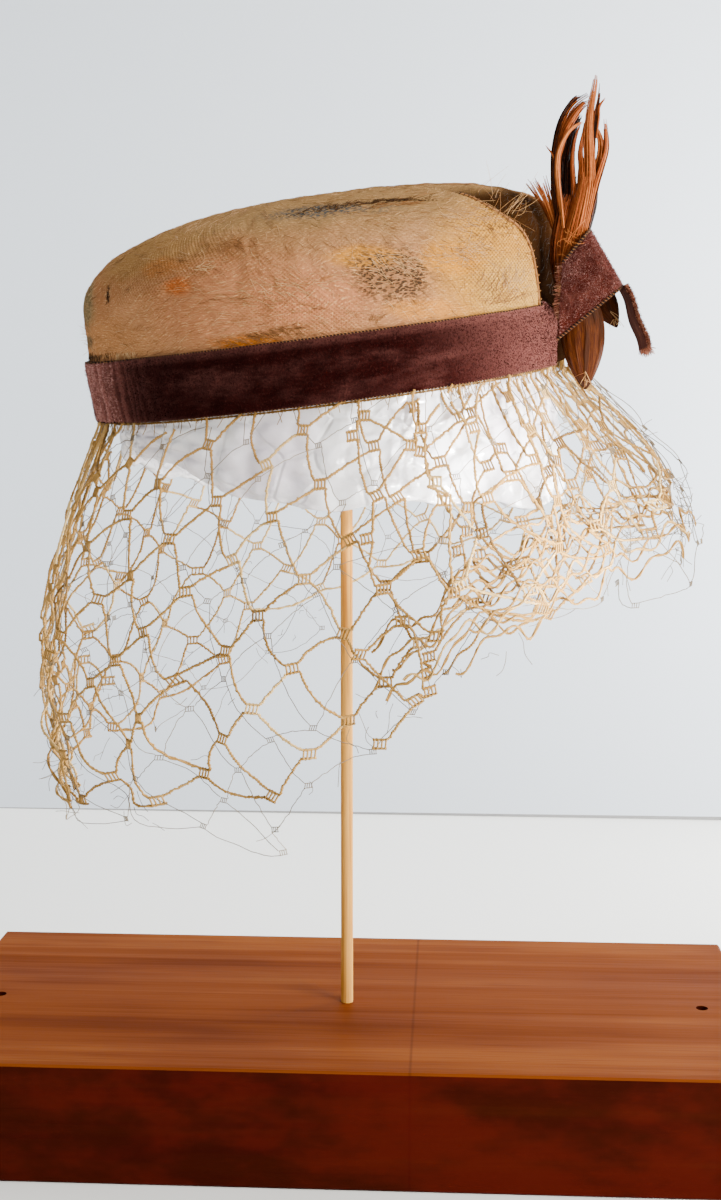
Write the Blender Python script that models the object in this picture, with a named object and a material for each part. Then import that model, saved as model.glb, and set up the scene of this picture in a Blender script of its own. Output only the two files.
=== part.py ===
"""A pillbox hat covered in feathers, with a velvet band, a plume and a net veil, on its plain wooden stand.

Metres, +Z up. The origin is where the rod's axis meets the underside of the block, and the hat's front faces -Y.
The hat is worked out upright round the middle of its opening, plumed side to +X, and is then tilted as a whole.
The loop, its tail, the plume and the buds all take their places from the plume's root, in the crown's dent.
"""

import math

import bmesh
import bpy
from mathutils import Matrix, Vector
from mathutils.bvhtree import BVHTree

GAP = 0.0003

# Stand
BLOCK_LENGTH = 0.320
BLOCK_DEPTH = 0.148
BLOCK_HEIGHT = 0.045
BLOCK_SHIFT_BACK = 0.004
BLOCK_EDGE = 0.0008
ROD_RADIUS = 0.0024
WOOD_UNDER_ROD = 0.015
SPARE_HOLE_RADIUS = 0.0024
SPARE_HOLE_DEPTH = 0.018
SPARE_HOLE_FROM_END = 0.019
CUT_MARGIN = 0.005
ROUND_SIDES = 24
PADDING_WALL = 0.004
PADDING_GAP = 0.0009
PADDING_BELOW_RIM = 0.0415
PADDING_LOBE_RISE = 0.018
PADDING_LOBE_ANGLE = math.radians(200)
PADDING_ROWS = 3

# Hat as a whole
RIM_ABOVE_BLOCK = 0.2445
HAT_ASIDE = -0.005
HAT_ROLL = math.radians(7.2)
HAT_PITCH = math.radians(4.2)

# Crown
RIM_HALF_LENGTH = 0.089
RIM_HALF_DEPTH = 0.078
CROWN_HEIGHT = 0.071
CROWN_WALL = 0.0022
SHOULDER_SHARE = {"plain_side": 0.535, "plume_side": 0.65}
SWELL = {"plain_side": 0.0012, "plume_side": 0.006}
ROUNDNESS = {"plain_side": 2.15, "plume_side": 2.7}
DENT_ANGLE = math.radians(-17)
DENT_SPREAD = math.radians(9)
DENT_DEPTH = 0.007
DENT_MIDDLE_SHARE = 0.62
DENT_HALF_HEIGHT_SHARE = 0.28
CROWN_SIDES = 40
WALL_SHARE = 0.4
WALL_ROWS = 3
DOME_ROWS = 7
TOP_SHARE = 0.975

# Velvet
VELVET_THICKNESS = 0.0012
BAND_WIDTH = 0.022
BAND_BELOW_RIM = 0.0005
BAND_START = math.radians(-7)
BAND_END = math.radians(-23)
LOOP_WIDTH = 0.0235
LOOP_HEIGHT = 0.039
LOOP_INSIDE_CLEARANCE = 0.003
FOLD_REACH = 0.005
FOLD_STEPS = 8
LOOP_BACK_RUN = 0.008
TAIL_LENGTH = 0.0238
TAIL_LEAN = math.radians(21.5)
TAIL_SWAY = 0.0015
TAIL_STEPS = 6

# Plume and buds
ROOT_ANGLE = math.radians(-19)
ROOT_SHARE = 0.263
ROOT_RADIUS = 0.0045
PLUME_WIDTH = 0.0165
PLUME_DEPTH = 0.007
PLUME_HEIGHT = 0.0722
LOCK_HALF_WIDTH = 0.0036
LOCK_FLATNESS = 0.55
LOCK_TAPER = 0.75
LOCK_SIDES = 6
LOCK_SECTIONS = 9
BUD_LENGTH = 0.0343
BUD_WIDTH = 0.016
BUD_THICKNESS = 0.0084
BUD_SIDES = 10
BUD_SECTIONS = 9

# Veil
VEIL_DROP = 0.145
VEIL_FLARE = 0.055
VEIL_COLUMNS = 20
VEIL_HALF_ROW = 0.0175
VEIL_HEM = 0.003
VEIL_THICKNESS = 0.001
VEIL_STRAND = 0.0018
VEIL_CROWDING = 0.15

# Corners of the loop from the plume's root, as shares of LOOP_WIDTH and LOOP_HEIGHT.
LOOP_CORNERS = {
    "cut_low": (-0.10, -0.60),
    "cut_high": (-0.04, 0.09),
    "fold_high": (0.39, 0.40),
    "fold_low": (0.90, -0.11),
}

# Locks of the plume from its root. A point is shares of PLUME_WIDTH, PLUME_DEPTH and PLUME_HEIGHT.
PLUME_LOCKS = {
    "stem": {"half_width": 1.0, "path": [(0.20, 0.15, 0.23), (0.50, 0.15, 0.61), (0.64, 0.0, 1.0)]},
    "left_loop": {
        "half_width": 0.67,
        "path": [(-0.08, -0.3, 0.33), (-0.11, -0.4, 0.61), (0.13, -0.4, 0.83), (0.47, -0.3, 0.89)],
    },
    "inner_lock": {"half_width": 0.56, "path": [(-0.02, 0.9, 0.30), (0.04, 1.0, 0.55), (0.28, 0.9, 0.77)]},
    "right_loop": {
        "half_width": 0.5,
        "path": [(0.50, -0.15, 0.30), (0.80, -0.4, 0.54), (0.92, -0.4, 0.70), (0.80, -0.3, 0.83)],
    },
    "left_wisp": {"half_width": 0.3, "path": [(-0.23, 0.15, 0.30), (-0.53, 0.4, 0.455), (-0.93, 0.6, 0.53)]},
    "inner_wisp": {"half_width": 0.28, "path": [(-0.17, 0.0, 0.30), (-0.29, -0.3, 0.455), (-0.50, -0.4, 0.57)]},
}

# Buds. The neck is shares of LOOP_WIDTH and LOOP_HEIGHT from the plume's root, and lean is degrees from upright.
BUDS = {
    "feather_bud_front": {"neck": (0.26, -0.18), "lean": 3.7, "length": 1.0, "width": 1.0, "thickness": 1.0},
    "feather_bud_back": {"neck": (0.46, -0.04), "lean": 29.0, "length": 0.57, "width": 0.62, "thickness": 0.66},
}

# How the veil falls round the hat: shares of VEIL_DROP and VEIL_FLARE, and how far round its curve runs in degrees.
VEIL_FALL = [
    {"angle": 0, "drop": 0.44, "flare": 1.00, "curve": 90},
    {"angle": 45, "drop": 0.52, "flare": 0.62, "curve": 90},
    {"angle": 90, "drop": 0.69, "flare": 0.38, "curve": 120},
    {"angle": 135, "drop": 0.90, "flare": 0.38, "curve": 140},
    {"angle": 180, "drop": 0.99, "flare": 0.47, "curve": 140},
    {"angle": 225, "drop": 0.97, "flare": 0.44, "curve": 130},
    {"angle": 270, "drop": 0.94, "flare": 0.38, "curve": 120},
    {"angle": 283, "drop": 0.90, "flare": 0.38, "curve": 110},
    {"angle": 295, "drop": 0.66, "flare": 0.42, "curve": 100},
    {"angle": 330, "drop": 0.50, "flare": 0.68, "curve": 90},
    {"angle": 360, "drop": 0.44, "flare": 1.00, "curve": 90},
]


def mix(first, second, share):
    return first + (second - first) * share


def hat_matrix():
    """Places the upright hat: front down, plumed side up, then moved to its centre."""
    centre = Matrix.Translation((HAT_ASIDE, 0, BLOCK_HEIGHT + RIM_ABOVE_BLOCK))
    roll = Matrix.Rotation(-HAT_ROLL, 4, "Y")
    pitch = Matrix.Rotation(HAT_PITCH, 4, "X")
    return centre @ roll @ pitch


def material(name, colour, roughness, alpha=1.0):
    """A plain surface of this colour."""
    made = bpy.data.materials.new(name)
    made.use_nodes = True
    shader = made.node_tree.nodes["Principled BSDF"]
    shader.inputs["Base Color"].default_value = (*colour, 1.0)
    shader.inputs["Roughness"].default_value = roughness
    shader.inputs["Metallic"].default_value = 0.0
    shader.inputs["Alpha"].default_value = alpha
    return made


def object_from(name, body, surface, smooth=True):
    """A named object from a filled bmesh."""
    bmesh.ops.recalc_face_normals(body, faces=body.faces)
    mesh = bpy.data.meshes.new(name)
    body.to_mesh(mesh)
    body.free()
    mesh.materials.append(surface)
    if smooth:
        mesh.shade_smooth()
        mesh.set_sharp_from_angle(angle=math.radians(40))
    made = bpy.data.objects.new(name, mesh)
    bpy.context.scene.collection.objects.link(made)
    return made


def as_tool(piece):
    """Marks an object that only cuts or joins another."""
    piece.hide_render = True
    piece.display_type = "WIRE"
    return piece


def combine(target, tool, operation):
    """Adds a Boolean of the target with the tool."""
    step = target.modifiers.new(tool.name, "BOOLEAN")
    step.operation = operation
    step.solver = "EXACT"
    step.object = as_tool(tool)


def loft(rings):
    """One closed body through rings of equal count, with a flat cap on its first and last ring."""
    body = bmesh.new()
    rows = [[body.verts.new(point) for point in ring] for ring in rings]
    count = len(rows[0])
    for low, high in zip(rows, rows[1:]):
        for side in range(count):
            after = (side + 1) % count
            body.faces.new((low[side], low[after], high[after], high[side]))
    body.faces.new(rows[0])
    body.faces.new(rows[-1])
    return body


def oval(centre, first, second, sides):
    """A ring round the centre whose half axes are two vectors."""
    turns = [2 * math.pi * side / sides for side in range(sides)]
    return [centre + first * math.cos(turn) + second * math.sin(turn) for turn in turns]


def strip(near_edge, far_edge, thickness):
    """A ribbon of this thickness between two edges with as many points each."""
    sections = []
    for index, (near, far) in enumerate(zip(near_edge, far_edge)):
        before = near_edge[max(index - 1, 0)]
        after = near_edge[min(index + 1, len(near_edge) - 1)]
        half = (after - before).cross(far - near).normalized() * (thickness / 2)
        sections.append([near - half, far - half, far + half, near + half])
    return loft(sections)


def smooth_path(points, count):
    """Evenly stepped points of a Catmull-Rom curve through the given ones."""
    ends = [points[0] * 2 - points[1], *points, points[-1] * 2 - points[-2]]
    path = []
    for step in range(count):
        place = step / (count - 1) * (len(points) - 1)
        first = min(int(place), len(points) - 2)
        share = place - first
        before, start, end, after = ends[first : first + 4]
        slope = (end - before) * share
        bend = (before * 2 - start * 5 + end * 4 - after) * share**2
        twist = (start * 3 - before - end * 3 + after) * share**3
        path.append((start * 2 + slope + bend + twist) / 2)
    return path


def by_side(values, angle):
    """A value that changes evenly from the plain side to the plumed side."""
    return mix(values["plain_side"], values["plume_side"], 0.5 + 0.5 * math.cos(angle))


def crown_point(angle, rise):
    """A point of the upright crown's outer face: rise 0 is the opening's edge and 1 is the top."""
    shoulder = by_side(SHOULDER_SHARE, angle) * CROWN_HEIGHT
    swell = by_side(SWELL, angle)
    power = 2 / by_side(ROUNDNESS, angle)
    if rise < WALL_SHARE:
        height = shoulder * rise / WALL_SHARE
        reach = 1.0
        swell *= math.sin(math.pi / 2 * rise / WALL_SHARE)
    else:
        turn = math.pi / 2 * (rise - WALL_SHARE) / (1 - WALL_SHARE)
        height = shoulder + (CROWN_HEIGHT - shoulder) * math.sin(turn) ** power
        reach = math.cos(turn) ** power
    aside = math.remainder(angle - DENT_ANGLE, 2 * math.pi) / DENT_SPREAD
    above = (height / CROWN_HEIGHT - DENT_MIDDLE_SHARE) / DENT_HALF_HEIGHT_SHARE
    dent = DENT_DEPTH * math.exp(-aside * aside - above * above)
    along = (RIM_HALF_LENGTH + swell - dent) * reach
    across = (RIM_HALF_DEPTH + swell - dent) * reach
    return Vector((along * math.cos(angle), across * math.sin(angle), height))


def under_crown(angle, rise, depth):
    """The placed point this far inside the crown's outer face, or outside it if depth is negative."""
    step = 0.001
    across = crown_point(angle + step, rise) - crown_point(angle - step, rise)
    upward = crown_point(angle, rise + step) - crown_point(angle, rise - step)
    return hat_matrix() @ (crown_point(angle, rise) - across.cross(upward).normalized() * depth)


def crown_rises():
    """The rows of the crown from its opening to its top."""
    wall = [WALL_SHARE * row / WALL_ROWS for row in range(WALL_ROWS)]
    dome = [mix(WALL_SHARE, TOP_SHARE, row / DOME_ROWS) for row in range(DOME_ROWS + 1)]
    return wall + dome


def crown_angles():
    return [2 * math.pi * side / CROWN_SIDES for side in range(CROWN_SIDES)]


def shell_ring(rise, depth):
    """A ring of the placed hat, this far inside the crown's outer face."""
    return [under_crown(angle, rise, depth) for angle in crown_angles()]


def make_crown(surface):
    rises = crown_rises()
    inner = [shell_ring(rise, CROWN_WALL) for rise in reversed(rises)]
    outer = [shell_ring(rise, 0.0) for rise in rises]
    return object_from("crown", loft(inner + outer), surface)


def padding_bottom(angle):
    """The height of the padding's lower edge, which is raised in a lobe near the plain side."""
    lobe = max(0.0, math.cos(angle - PADDING_LOBE_ANGLE)) ** 4
    return BLOCK_HEIGHT + RIM_ABOVE_BLOCK - PADDING_BELOW_RIM + PADDING_LOBE_RISE * lobe


def padding_skirt(depth):
    """The padding's rows below the rim, along the hat's axis down to its lower edge."""
    axis = hat_matrix().to_3x3() @ Vector((0, 0, 1))
    rim = shell_ring(0.0, depth)
    bottoms = [padding_bottom(angle) for angle in crown_angles()]
    falls = [axis * ((point.z - bottom) / axis.z) for point, bottom in zip(rim, bottoms)]
    shares = [row / PADDING_ROWS for row in range(1, PADDING_ROWS + 1)]
    return [[point - fall * share for point, fall in zip(rim, falls)] for share in shares]


def make_padding(surface):
    """The cup of film that fills the hat: it follows the crown inside and hangs below the rim."""
    outside = CROWN_WALL + PADDING_GAP
    inside = outside + PADDING_WALL
    rises = crown_rises()
    inner = [shell_ring(rise, inside) for rise in reversed(rises)] + padding_skirt(inside)
    outer = list(reversed(padding_skirt(outside))) + [shell_ring(rise, outside) for rise in rises]
    return object_from("stand_padding", loft(inner + outer), surface)


def make_band(surface):
    """The velvet ribbon round the opening, from behind the ornament all the way round to before it."""
    heights = [-BAND_BELOW_RIM, BAND_WIDTH / 2 - BAND_BELOW_RIM, BAND_WIDTH - BAND_BELOW_RIM]
    end = BAND_END + 2 * math.pi
    sections = []
    for angle in [BAND_START, *(angle for angle in crown_angles() if angle < end), end]:
        shoulder = by_side(SHOULDER_SHARE, angle) * CROWN_HEIGHT
        rises = [WALL_SHARE * height / shoulder for height in heights]
        inside = [under_crown(angle, rise, -GAP) for rise in rises]
        outside = [under_crown(angle, rise, -GAP - VELVET_THICKNESS) for rise in reversed(rises)]
        sections.append(inside + outside)
    return object_from("ribbon_band", loft(sections), surface)


def root_place():
    """The middle of the plume's root, which rests in the crown's dent."""
    return under_crown(ROOT_ANGLE, ROOT_SHARE, -ROOT_RADIUS - GAP)


def loop_inner_front():
    """The depth of the loop's inner face in front, just before the plume's root."""
    return root_place().y - ROOT_RADIUS - GAP


def loop_inner_back():
    """The depth of the loop's inner face behind, past both buds."""
    buds = sum(row["thickness"] for row in BUDS.values()) * BUD_THICKNESS
    return loop_inner_front() + buds + LOOP_INSIDE_CLEARANCE


def from_root(shares):
    """A point in the loop's front view, as shares of its width and height from the root."""
    return Vector((root_place().x + shares[0] * LOOP_WIDTH, 0, root_place().z + shares[1] * LOOP_HEIGHT))


def loop_edge(cut, fold):
    """One hem of the velvet loop: along the front, round the fold and a short way back."""
    front = Vector((0, loop_inner_front() - VELVET_THICKNESS / 2, 0))
    start = from_root(LOOP_CORNERS[cut]) + front
    end = from_root(LOOP_CORNERS[fold]) + front
    along = (end - start).normalized()
    depth = loop_inner_back() - loop_inner_front() + VELVET_THICKNESS
    turn_start = end - along * FOLD_REACH
    path = [mix(start, turn_start, share) for share in (0, 1 / 3, 2 / 3)]
    for step in range(FOLD_STEPS + 1):
        turn = math.pi * step / FOLD_STEPS
        back = Vector((0, depth * (0.5 - 0.5 * math.cos(turn)), 0))
        path.append(turn_start + along * (FOLD_REACH * math.sin(turn)) + back)
    path.append(path[-1] - along * LOOP_BACK_RUN)
    return path


def make_loop(surface):
    low = loop_edge("cut_low", "fold_low")
    high = loop_edge("cut_high", "fold_high")
    return object_from("ribbon_loop", strip(low, high, VELVET_THICKNESS), surface)


def make_tail(surface):
    """The ribbon's loose end, which hangs from the fold's low corner with its edge to the front."""
    down = Vector((math.sin(TAIL_LEAN), 0, -math.cos(TAIL_LEAN)))
    aside = down.cross(Vector((0, 1, 0)))
    start = from_root(LOOP_CORNERS["fold_low"]) + aside * (VELVET_THICKNESS + GAP)
    path = []
    for step in range(TAIL_STEPS + 1):
        share = step / TAIL_STEPS
        path.append(start + down * TAIL_LENGTH * share + aside * (TAIL_SWAY * math.sin(math.pi * share)))
    near_edge = [point + Vector((0, loop_inner_front(), 0)) for point in path]
    far_edge = [point + Vector((0, loop_inner_back(), 0)) for point in path]
    return object_from("ribbon_tail", strip(near_edge, far_edge, VELVET_THICKNESS), surface)


def lock(points, half_width):
    """A tapering lock of feather along a curve, flat to the front."""
    path = smooth_path(points, LOCK_SECTIONS)
    rings = []
    for index, point in enumerate(path):
        before = path[max(index - 1, 0)]
        after = path[min(index + 1, len(path) - 1)]
        along = (after - before).normalized()
        side = along.cross(Vector((0, 1, 0))).normalized()
        wide = half_width * (1 - LOCK_TAPER * (index / (len(path) - 1)) ** 2)
        rings.append(oval(point, side * wide, side.cross(along) * (wide * LOCK_FLATNESS), LOCK_SIDES))
    return loft(rings)


def make_plume(surface):
    """Locks of feather joined to one round root."""
    root = root_place()
    size = Vector((PLUME_WIDTH, PLUME_DEPTH, PLUME_HEIGHT))
    body = bmesh.new()
    bmesh.ops.create_icosphere(body, subdivisions=2, radius=ROOT_RADIUS, matrix=Matrix.Translation(root))
    plume = object_from("plume", body, surface)
    for name, row in PLUME_LOCKS.items():
        path = [root] + [root + Vector(shares) * size for shares in row["path"]]
        piece = object_from("lock_" + name, lock(path, row["half_width"] * LOCK_HALF_WIDTH), surface)
        combine(plume, piece, "UNION")
    return plume


def make_bud(name, surface):
    """An almond of stiff feather, its blunt neck held inside the loop and its tip down."""
    row = BUDS[name]
    thickness = row["thickness"] * BUD_THICKNESS
    if name == "feather_bud_front":
        depth = loop_inner_front() + GAP + thickness / 2
    else:
        depth = loop_inner_back() - GAP - thickness / 2
    lean = math.radians(row["lean"])
    down = Vector((math.sin(lean), 0, -math.cos(lean)))
    side = down.cross(Vector((0, 1, 0)))
    neck = from_root(row["neck"]) + Vector((0, depth, 0))
    rings = []
    for section in range(BUD_SECTIONS):
        share = section / (BUD_SECTIONS - 1)
        fullness = math.sin(math.pi * mix(0.16, 0.985, share)) ** 0.8
        wide = side * (row["width"] * BUD_WIDTH / 2 * fullness)
        thick = Vector((0, thickness / 2 * fullness, 0))
        rings.append(oval(neck + down * (row["length"] * BUD_LENGTH * share), wide, thick, BUD_SIDES))
    return object_from(name, loft(rings), surface)


def veil_fall(angle, column):
    """A column of the table at any angle."""
    degrees = math.degrees(angle) % 360
    for low, high in zip(VEIL_FALL, VEIL_FALL[1:]):
        if degrees <= high["angle"]:
            share = (degrees - low["angle"]) / (high["angle"] - low["angle"])
            return mix(low[column], high[column], share)
    return VEIL_FALL[-1][column]


def veil_corner_angle(column, row):
    """Rows of the net's corners are set half a mesh aside in turn, and crowd towards the plumed side."""
    whole = 2 * math.pi * (column + 0.5 * (row % 2)) / VEIL_COLUMNS
    return whole - VEIL_CROWDING * math.sin(whole)


def veil_hem(angle, height):
    """A point of the hem, under the middle of the crown's edge."""
    along = (RIM_HALF_LENGTH - CROWN_WALL / 2) * math.cos(angle)
    across = (RIM_HALF_DEPTH - CROWN_WALL / 2) * math.sin(angle)
    return hat_matrix() @ Vector((along, across, height))


def veil_point(angle, fall):
    """A point of the net this far below its hem."""
    outward = Vector((RIM_HALF_DEPTH * math.cos(angle), RIM_HALF_LENGTH * math.sin(angle), 0)).normalized()
    share = fall / (veil_fall(angle, "drop") * VEIL_DROP)
    curve = math.radians(veil_fall(angle, "curve"))
    reach = veil_fall(angle, "flare") * VEIL_FLARE * math.sin(curve * min(share, 1.0))
    return veil_hem(angle, -GAP - VEIL_HEM) + outward * reach - Vector((0, 0, fall))


def veil_meshes(net, corner):
    """Fills the net with its meshes, row below row, as far down as the veil falls at each angle."""
    columns = range(VEIL_COLUMNS)
    meshes = [net.faces.new((corner(left, 0), corner(left + 1, 0), corner(left, 1))) for left in columns]
    kept = set(columns)
    row = 1
    while kept:
        kept_below = set()
        for left in columns:
            middle = (left + row % 2) % VEIL_COLUMNS
            fall = veil_fall(veil_corner_angle(middle, row - 1), "drop") * VEIL_DROP
            reaches = (row + 1) * VEIL_HALF_ROW <= fall + VEIL_HALF_ROW / 2
            if reaches and {(middle - 1) % VEIL_COLUMNS, middle} <= kept:
                kept_below.add(left)
                sides = (corner(middle, row - 1), corner(left + 1, row), corner(middle, row + 1), corner(left, row))
                meshes.append(net.faces.new(sides))
        kept = kept_below
        row += 1
    return meshes


def make_veil(surface):
    """A net of diamond meshes, cut through, that hangs from a hem under the crown's edge."""
    net = bmesh.new()
    corners = {}

    def corner(column, row):
        key = (column % VEIL_COLUMNS, row)
        if key not in corners:
            corners[key] = net.verts.new(veil_point(veil_corner_angle(*key), row * VEIL_HALF_ROW))
        return corners[key]

    columns = range(VEIL_COLUMNS)
    hem_top = [net.verts.new(veil_hem(veil_corner_angle(column, 0), -GAP)) for column in columns]
    for left in columns:
        right = (left + 1) % VEIL_COLUMNS
        net.faces.new((hem_top[left], hem_top[right], corner(right, 0), corner(left, 0)))
    meshes = veil_meshes(net, corner)
    net.normal_update()
    bmesh.ops.inset_individual(net, faces=meshes, thickness=VEIL_STRAND / 2, use_even_offset=True)
    bmesh.ops.delete(net, geom=meshes, context="FACES")
    veil = object_from("veil_net", net, surface)
    thickness = veil.modifiers.new("thickness", "SOLIDIFY")
    thickness.thickness = VEIL_THICKNESS
    thickness.offset = 0.0
    return veil


def upright_bar(name, radius, low, high, x, surface):
    """A round bar between two heights, in the block's middle plane."""
    body = bmesh.new()
    middle = Matrix.Translation((x, 0, (low + high) / 2))
    bmesh.ops.create_cone(
        body,
        cap_ends=True,
        segments=ROUND_SIDES,
        radius1=radius,
        radius2=radius,
        depth=high - low,
        matrix=middle,
    )
    return object_from(name, body, surface)


def make_block(surface):
    """The stand's block, with the rod's hole and a spare hole near each end."""
    body = bmesh.new()
    size = Matrix.Diagonal((BLOCK_LENGTH, BLOCK_DEPTH, BLOCK_HEIGHT, 1))
    middle = Matrix.Translation((0, BLOCK_SHIFT_BACK, BLOCK_HEIGHT / 2))
    bmesh.ops.create_cube(body, size=1, matrix=middle @ size)
    bmesh.ops.bevel(body, geom=list(body.edges), offset=BLOCK_EDGE, segments=1, affect="EDGES")
    block = object_from("stand_block", body, surface, smooth=False)
    above = BLOCK_HEIGHT + CUT_MARGIN
    combine(block, upright_bar("rod_hole", ROD_RADIUS + GAP, WOOD_UNDER_ROD, above, 0, surface), "DIFFERENCE")
    floor = BLOCK_HEIGHT - SPARE_HOLE_DEPTH
    reach = BLOCK_LENGTH / 2 - SPARE_HOLE_FROM_END
    for name, x in (("left_spare_hole", -reach), ("right_spare_hole", reach)):
        combine(block, upright_bar(name, SPARE_HOLE_RADIUS, floor, above, x, surface), "DIFFERENCE")
    return block


def make_rod(padding, surface):
    """The rod stands in the block's hole and reaches the padding's inner top."""
    inside = BVHTree.FromObject(padding, bpy.context.evaluated_depsgraph_get())
    ceiling = inside.ray_cast(Vector((0, 0, BLOCK_HEIGHT)), Vector((0, 0, 1)))[0].z
    top = ceiling - GAP - ROD_RADIUS * math.tan(HAT_ROLL + HAT_PITCH)
    return upright_bar("stand_rod", ROD_RADIUS, WOOD_UNDER_ROD + GAP, top, 0, surface)


def main():
    for old in list(bpy.data.objects):
        bpy.data.objects.remove(old)
    feather = material("crown_feather", (0.52, 0.31, 0.18), 0.7)
    velvet = material("velvet", (0.12, 0.03, 0.025), 0.9)
    plume = material("plume_feather", (0.45, 0.15, 0.04), 0.6)
    bud = material("bud_feather", (0.32, 0.12, 0.03), 0.4)
    net = material("veil_thread", (0.62, 0.47, 0.28), 0.7)
    film = material("padding_film", (0.80, 0.78, 0.80), 0.2, alpha=0.6)
    pale_wood = material("rod_wood", (0.62, 0.38, 0.18), 0.6)
    dark_wood = material("block_wood", (0.28, 0.09, 0.03), 0.4)
    make_crown(feather)
    make_band(velvet)
    make_loop(velvet)
    make_tail(velvet)
    make_plume(plume)
    for name in BUDS:
        make_bud(name, bud)
    make_veil(net)
    padding = make_padding(film)
    bpy.context.view_layer.update()
    make_rod(padding, pale_wood)
    make_block(dark_wood)


if __name__ == "__main__":
    main()
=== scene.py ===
"""The looks of a pillbox hat on its plain stand: feathers under tulle, worn velvet, a plume and a net veil.

Metres, +Z up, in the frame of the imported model, with the hat's front to -Y and its plumed side to +X.
The hat's form repeats the named sizes of the model's own source, and places on the hat are an angle round it
from +X and a height as a share of the crown's.
"""

import math

import bpy
import numpy as np
from mathutils import Matrix, Vector


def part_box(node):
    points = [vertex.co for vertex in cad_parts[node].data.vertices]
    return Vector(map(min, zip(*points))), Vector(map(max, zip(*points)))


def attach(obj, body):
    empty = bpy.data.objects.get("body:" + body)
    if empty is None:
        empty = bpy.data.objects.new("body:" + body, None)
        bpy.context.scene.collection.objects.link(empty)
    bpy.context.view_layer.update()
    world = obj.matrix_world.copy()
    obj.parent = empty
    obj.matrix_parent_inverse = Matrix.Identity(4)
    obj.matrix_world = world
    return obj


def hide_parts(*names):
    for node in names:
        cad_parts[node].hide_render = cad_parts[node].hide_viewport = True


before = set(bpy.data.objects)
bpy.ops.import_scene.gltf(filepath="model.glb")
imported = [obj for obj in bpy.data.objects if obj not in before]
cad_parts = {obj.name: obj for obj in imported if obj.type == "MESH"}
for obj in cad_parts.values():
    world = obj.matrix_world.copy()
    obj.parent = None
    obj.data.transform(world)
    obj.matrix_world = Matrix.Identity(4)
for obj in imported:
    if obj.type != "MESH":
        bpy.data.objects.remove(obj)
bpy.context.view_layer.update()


def named_rows(columns, *rows):
    """Rows of values as dicts, by the names of their columns."""
    return [dict(zip(columns.split(), row)) for row in rows]


# Camera and stage
CAMERA_PLACE = (0.04074, -0.63201, 0.286)
CAMERA_AZIMUTH = math.radians(3.2)
CAMERA_PITCH = math.radians(7.1)
CAMERA_LENS = 49.2
SENSOR_HEIGHT = 36
FLOOR_REACH = 3.0
FLOOR_BACK = 0.47
FLOOR_TURN = math.radians(-0.6)
FLOOR_BELOW = 0.0003
WALL_BACK = 1.6
SHADOW_STRIP_HEIGHT = 0.012
SHADOW_STRIP_START = -0.45

# Hat as a whole
RIM_CENTRE = (-0.005, 0.0, 0.2895)
HAT_ROLL = math.radians(7.2)
HAT_PITCH = math.radians(4.2)
BAND_WIDTH = 0.022
BAND_BELOW_RIM = 0.0005
BAND_START = math.radians(-7)
BAND_END = math.radians(337)
BAND_THICKNESS = 0.0012
BAND_BELLY = 0.0003
BAND_EDGE_RADIUS = 0.00038
PILE_WIDTH = 0.00022
EDGE_TWIST = 0.0012
EDGE_GIRTH = 0.0022
GAP = 0.0003

# Crown
RIM_HALF_LENGTH = 0.089
RIM_HALF_DEPTH = 0.078
CROWN_HEIGHT = 0.071
MEAN_RIM_RADIUS = 0.0835
CROWN_WALL = 0.0022
SHOULDER_SHARE = {"plain_side": 0.535, "plume_side": 0.65}
SWELL = {"plain_side": 0.0012, "plume_side": 0.006}
ROUNDNESS = {"plain_side": 2.15, "plume_side": 2.7}
WALL_SHARE = 0.4
DENT_DEPTH = 0.0085
RIDGE = [(-46.0, 0.88), (-45.0, 0.85), (-44.0, 0.80), (-41.5, 0.745), (-37.8, 0.68), (-34.8, 0.58),
         (-33.4, 0.46), (-32.4, 0.34), (-31.8, 0.22)]
TULLE_PITCH = 0.0015

# Metres on the crown's face for one radian round it, and for its whole rise
RADIAN_LENGTH = 0.083
RISE_LENGTH = 0.115

# Ornament
LOOP_WIDTH = 0.0235
LOOP_HEIGHT = 0.039
FOLD_REACH = 0.005
LOOP_BACK_RUN = 0.008
LOOP_THICKNESS = 0.0011
LOOP_EDGE_RADIUS = 0.00055
LOOP_CORNERS = {
    "cut_low": (-0.10, -0.60),
    "cut_high": (-0.04, 0.09),
    "fold_high": (0.39, 0.40),
    "fold_low": (0.90, -0.11),
}
TAIL_LENGTH = 0.0238
TAIL_LEAN = math.radians(21.5)
TAIL_THICKNESS = 0.0012
PLUME_ROOT = np.array([0.0803, -0.0290, 0.3295])

# Veil
NET_PITCH = 0.0178
NET_CLIMB = 0.0112
NET_DROP = 0.0190
KNOT_LENGTH = 0.0036
KNOT_WIDTH = 0.0030
THREAD_RADIUS = 0.00035
FINE_RADIUS = 0.00017
VEIL_HEM = 0.003
THREAD_PITCH = 0.0021
FINE_KNOT_SIZE = 0.55
NET_SLANT = 0.22
NET_BOW = 2.4

# Padding
PADDING_LOW = 0.248
FILM_THICKNESS = 0.0035
FILM_GAP = 0.0011
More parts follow.
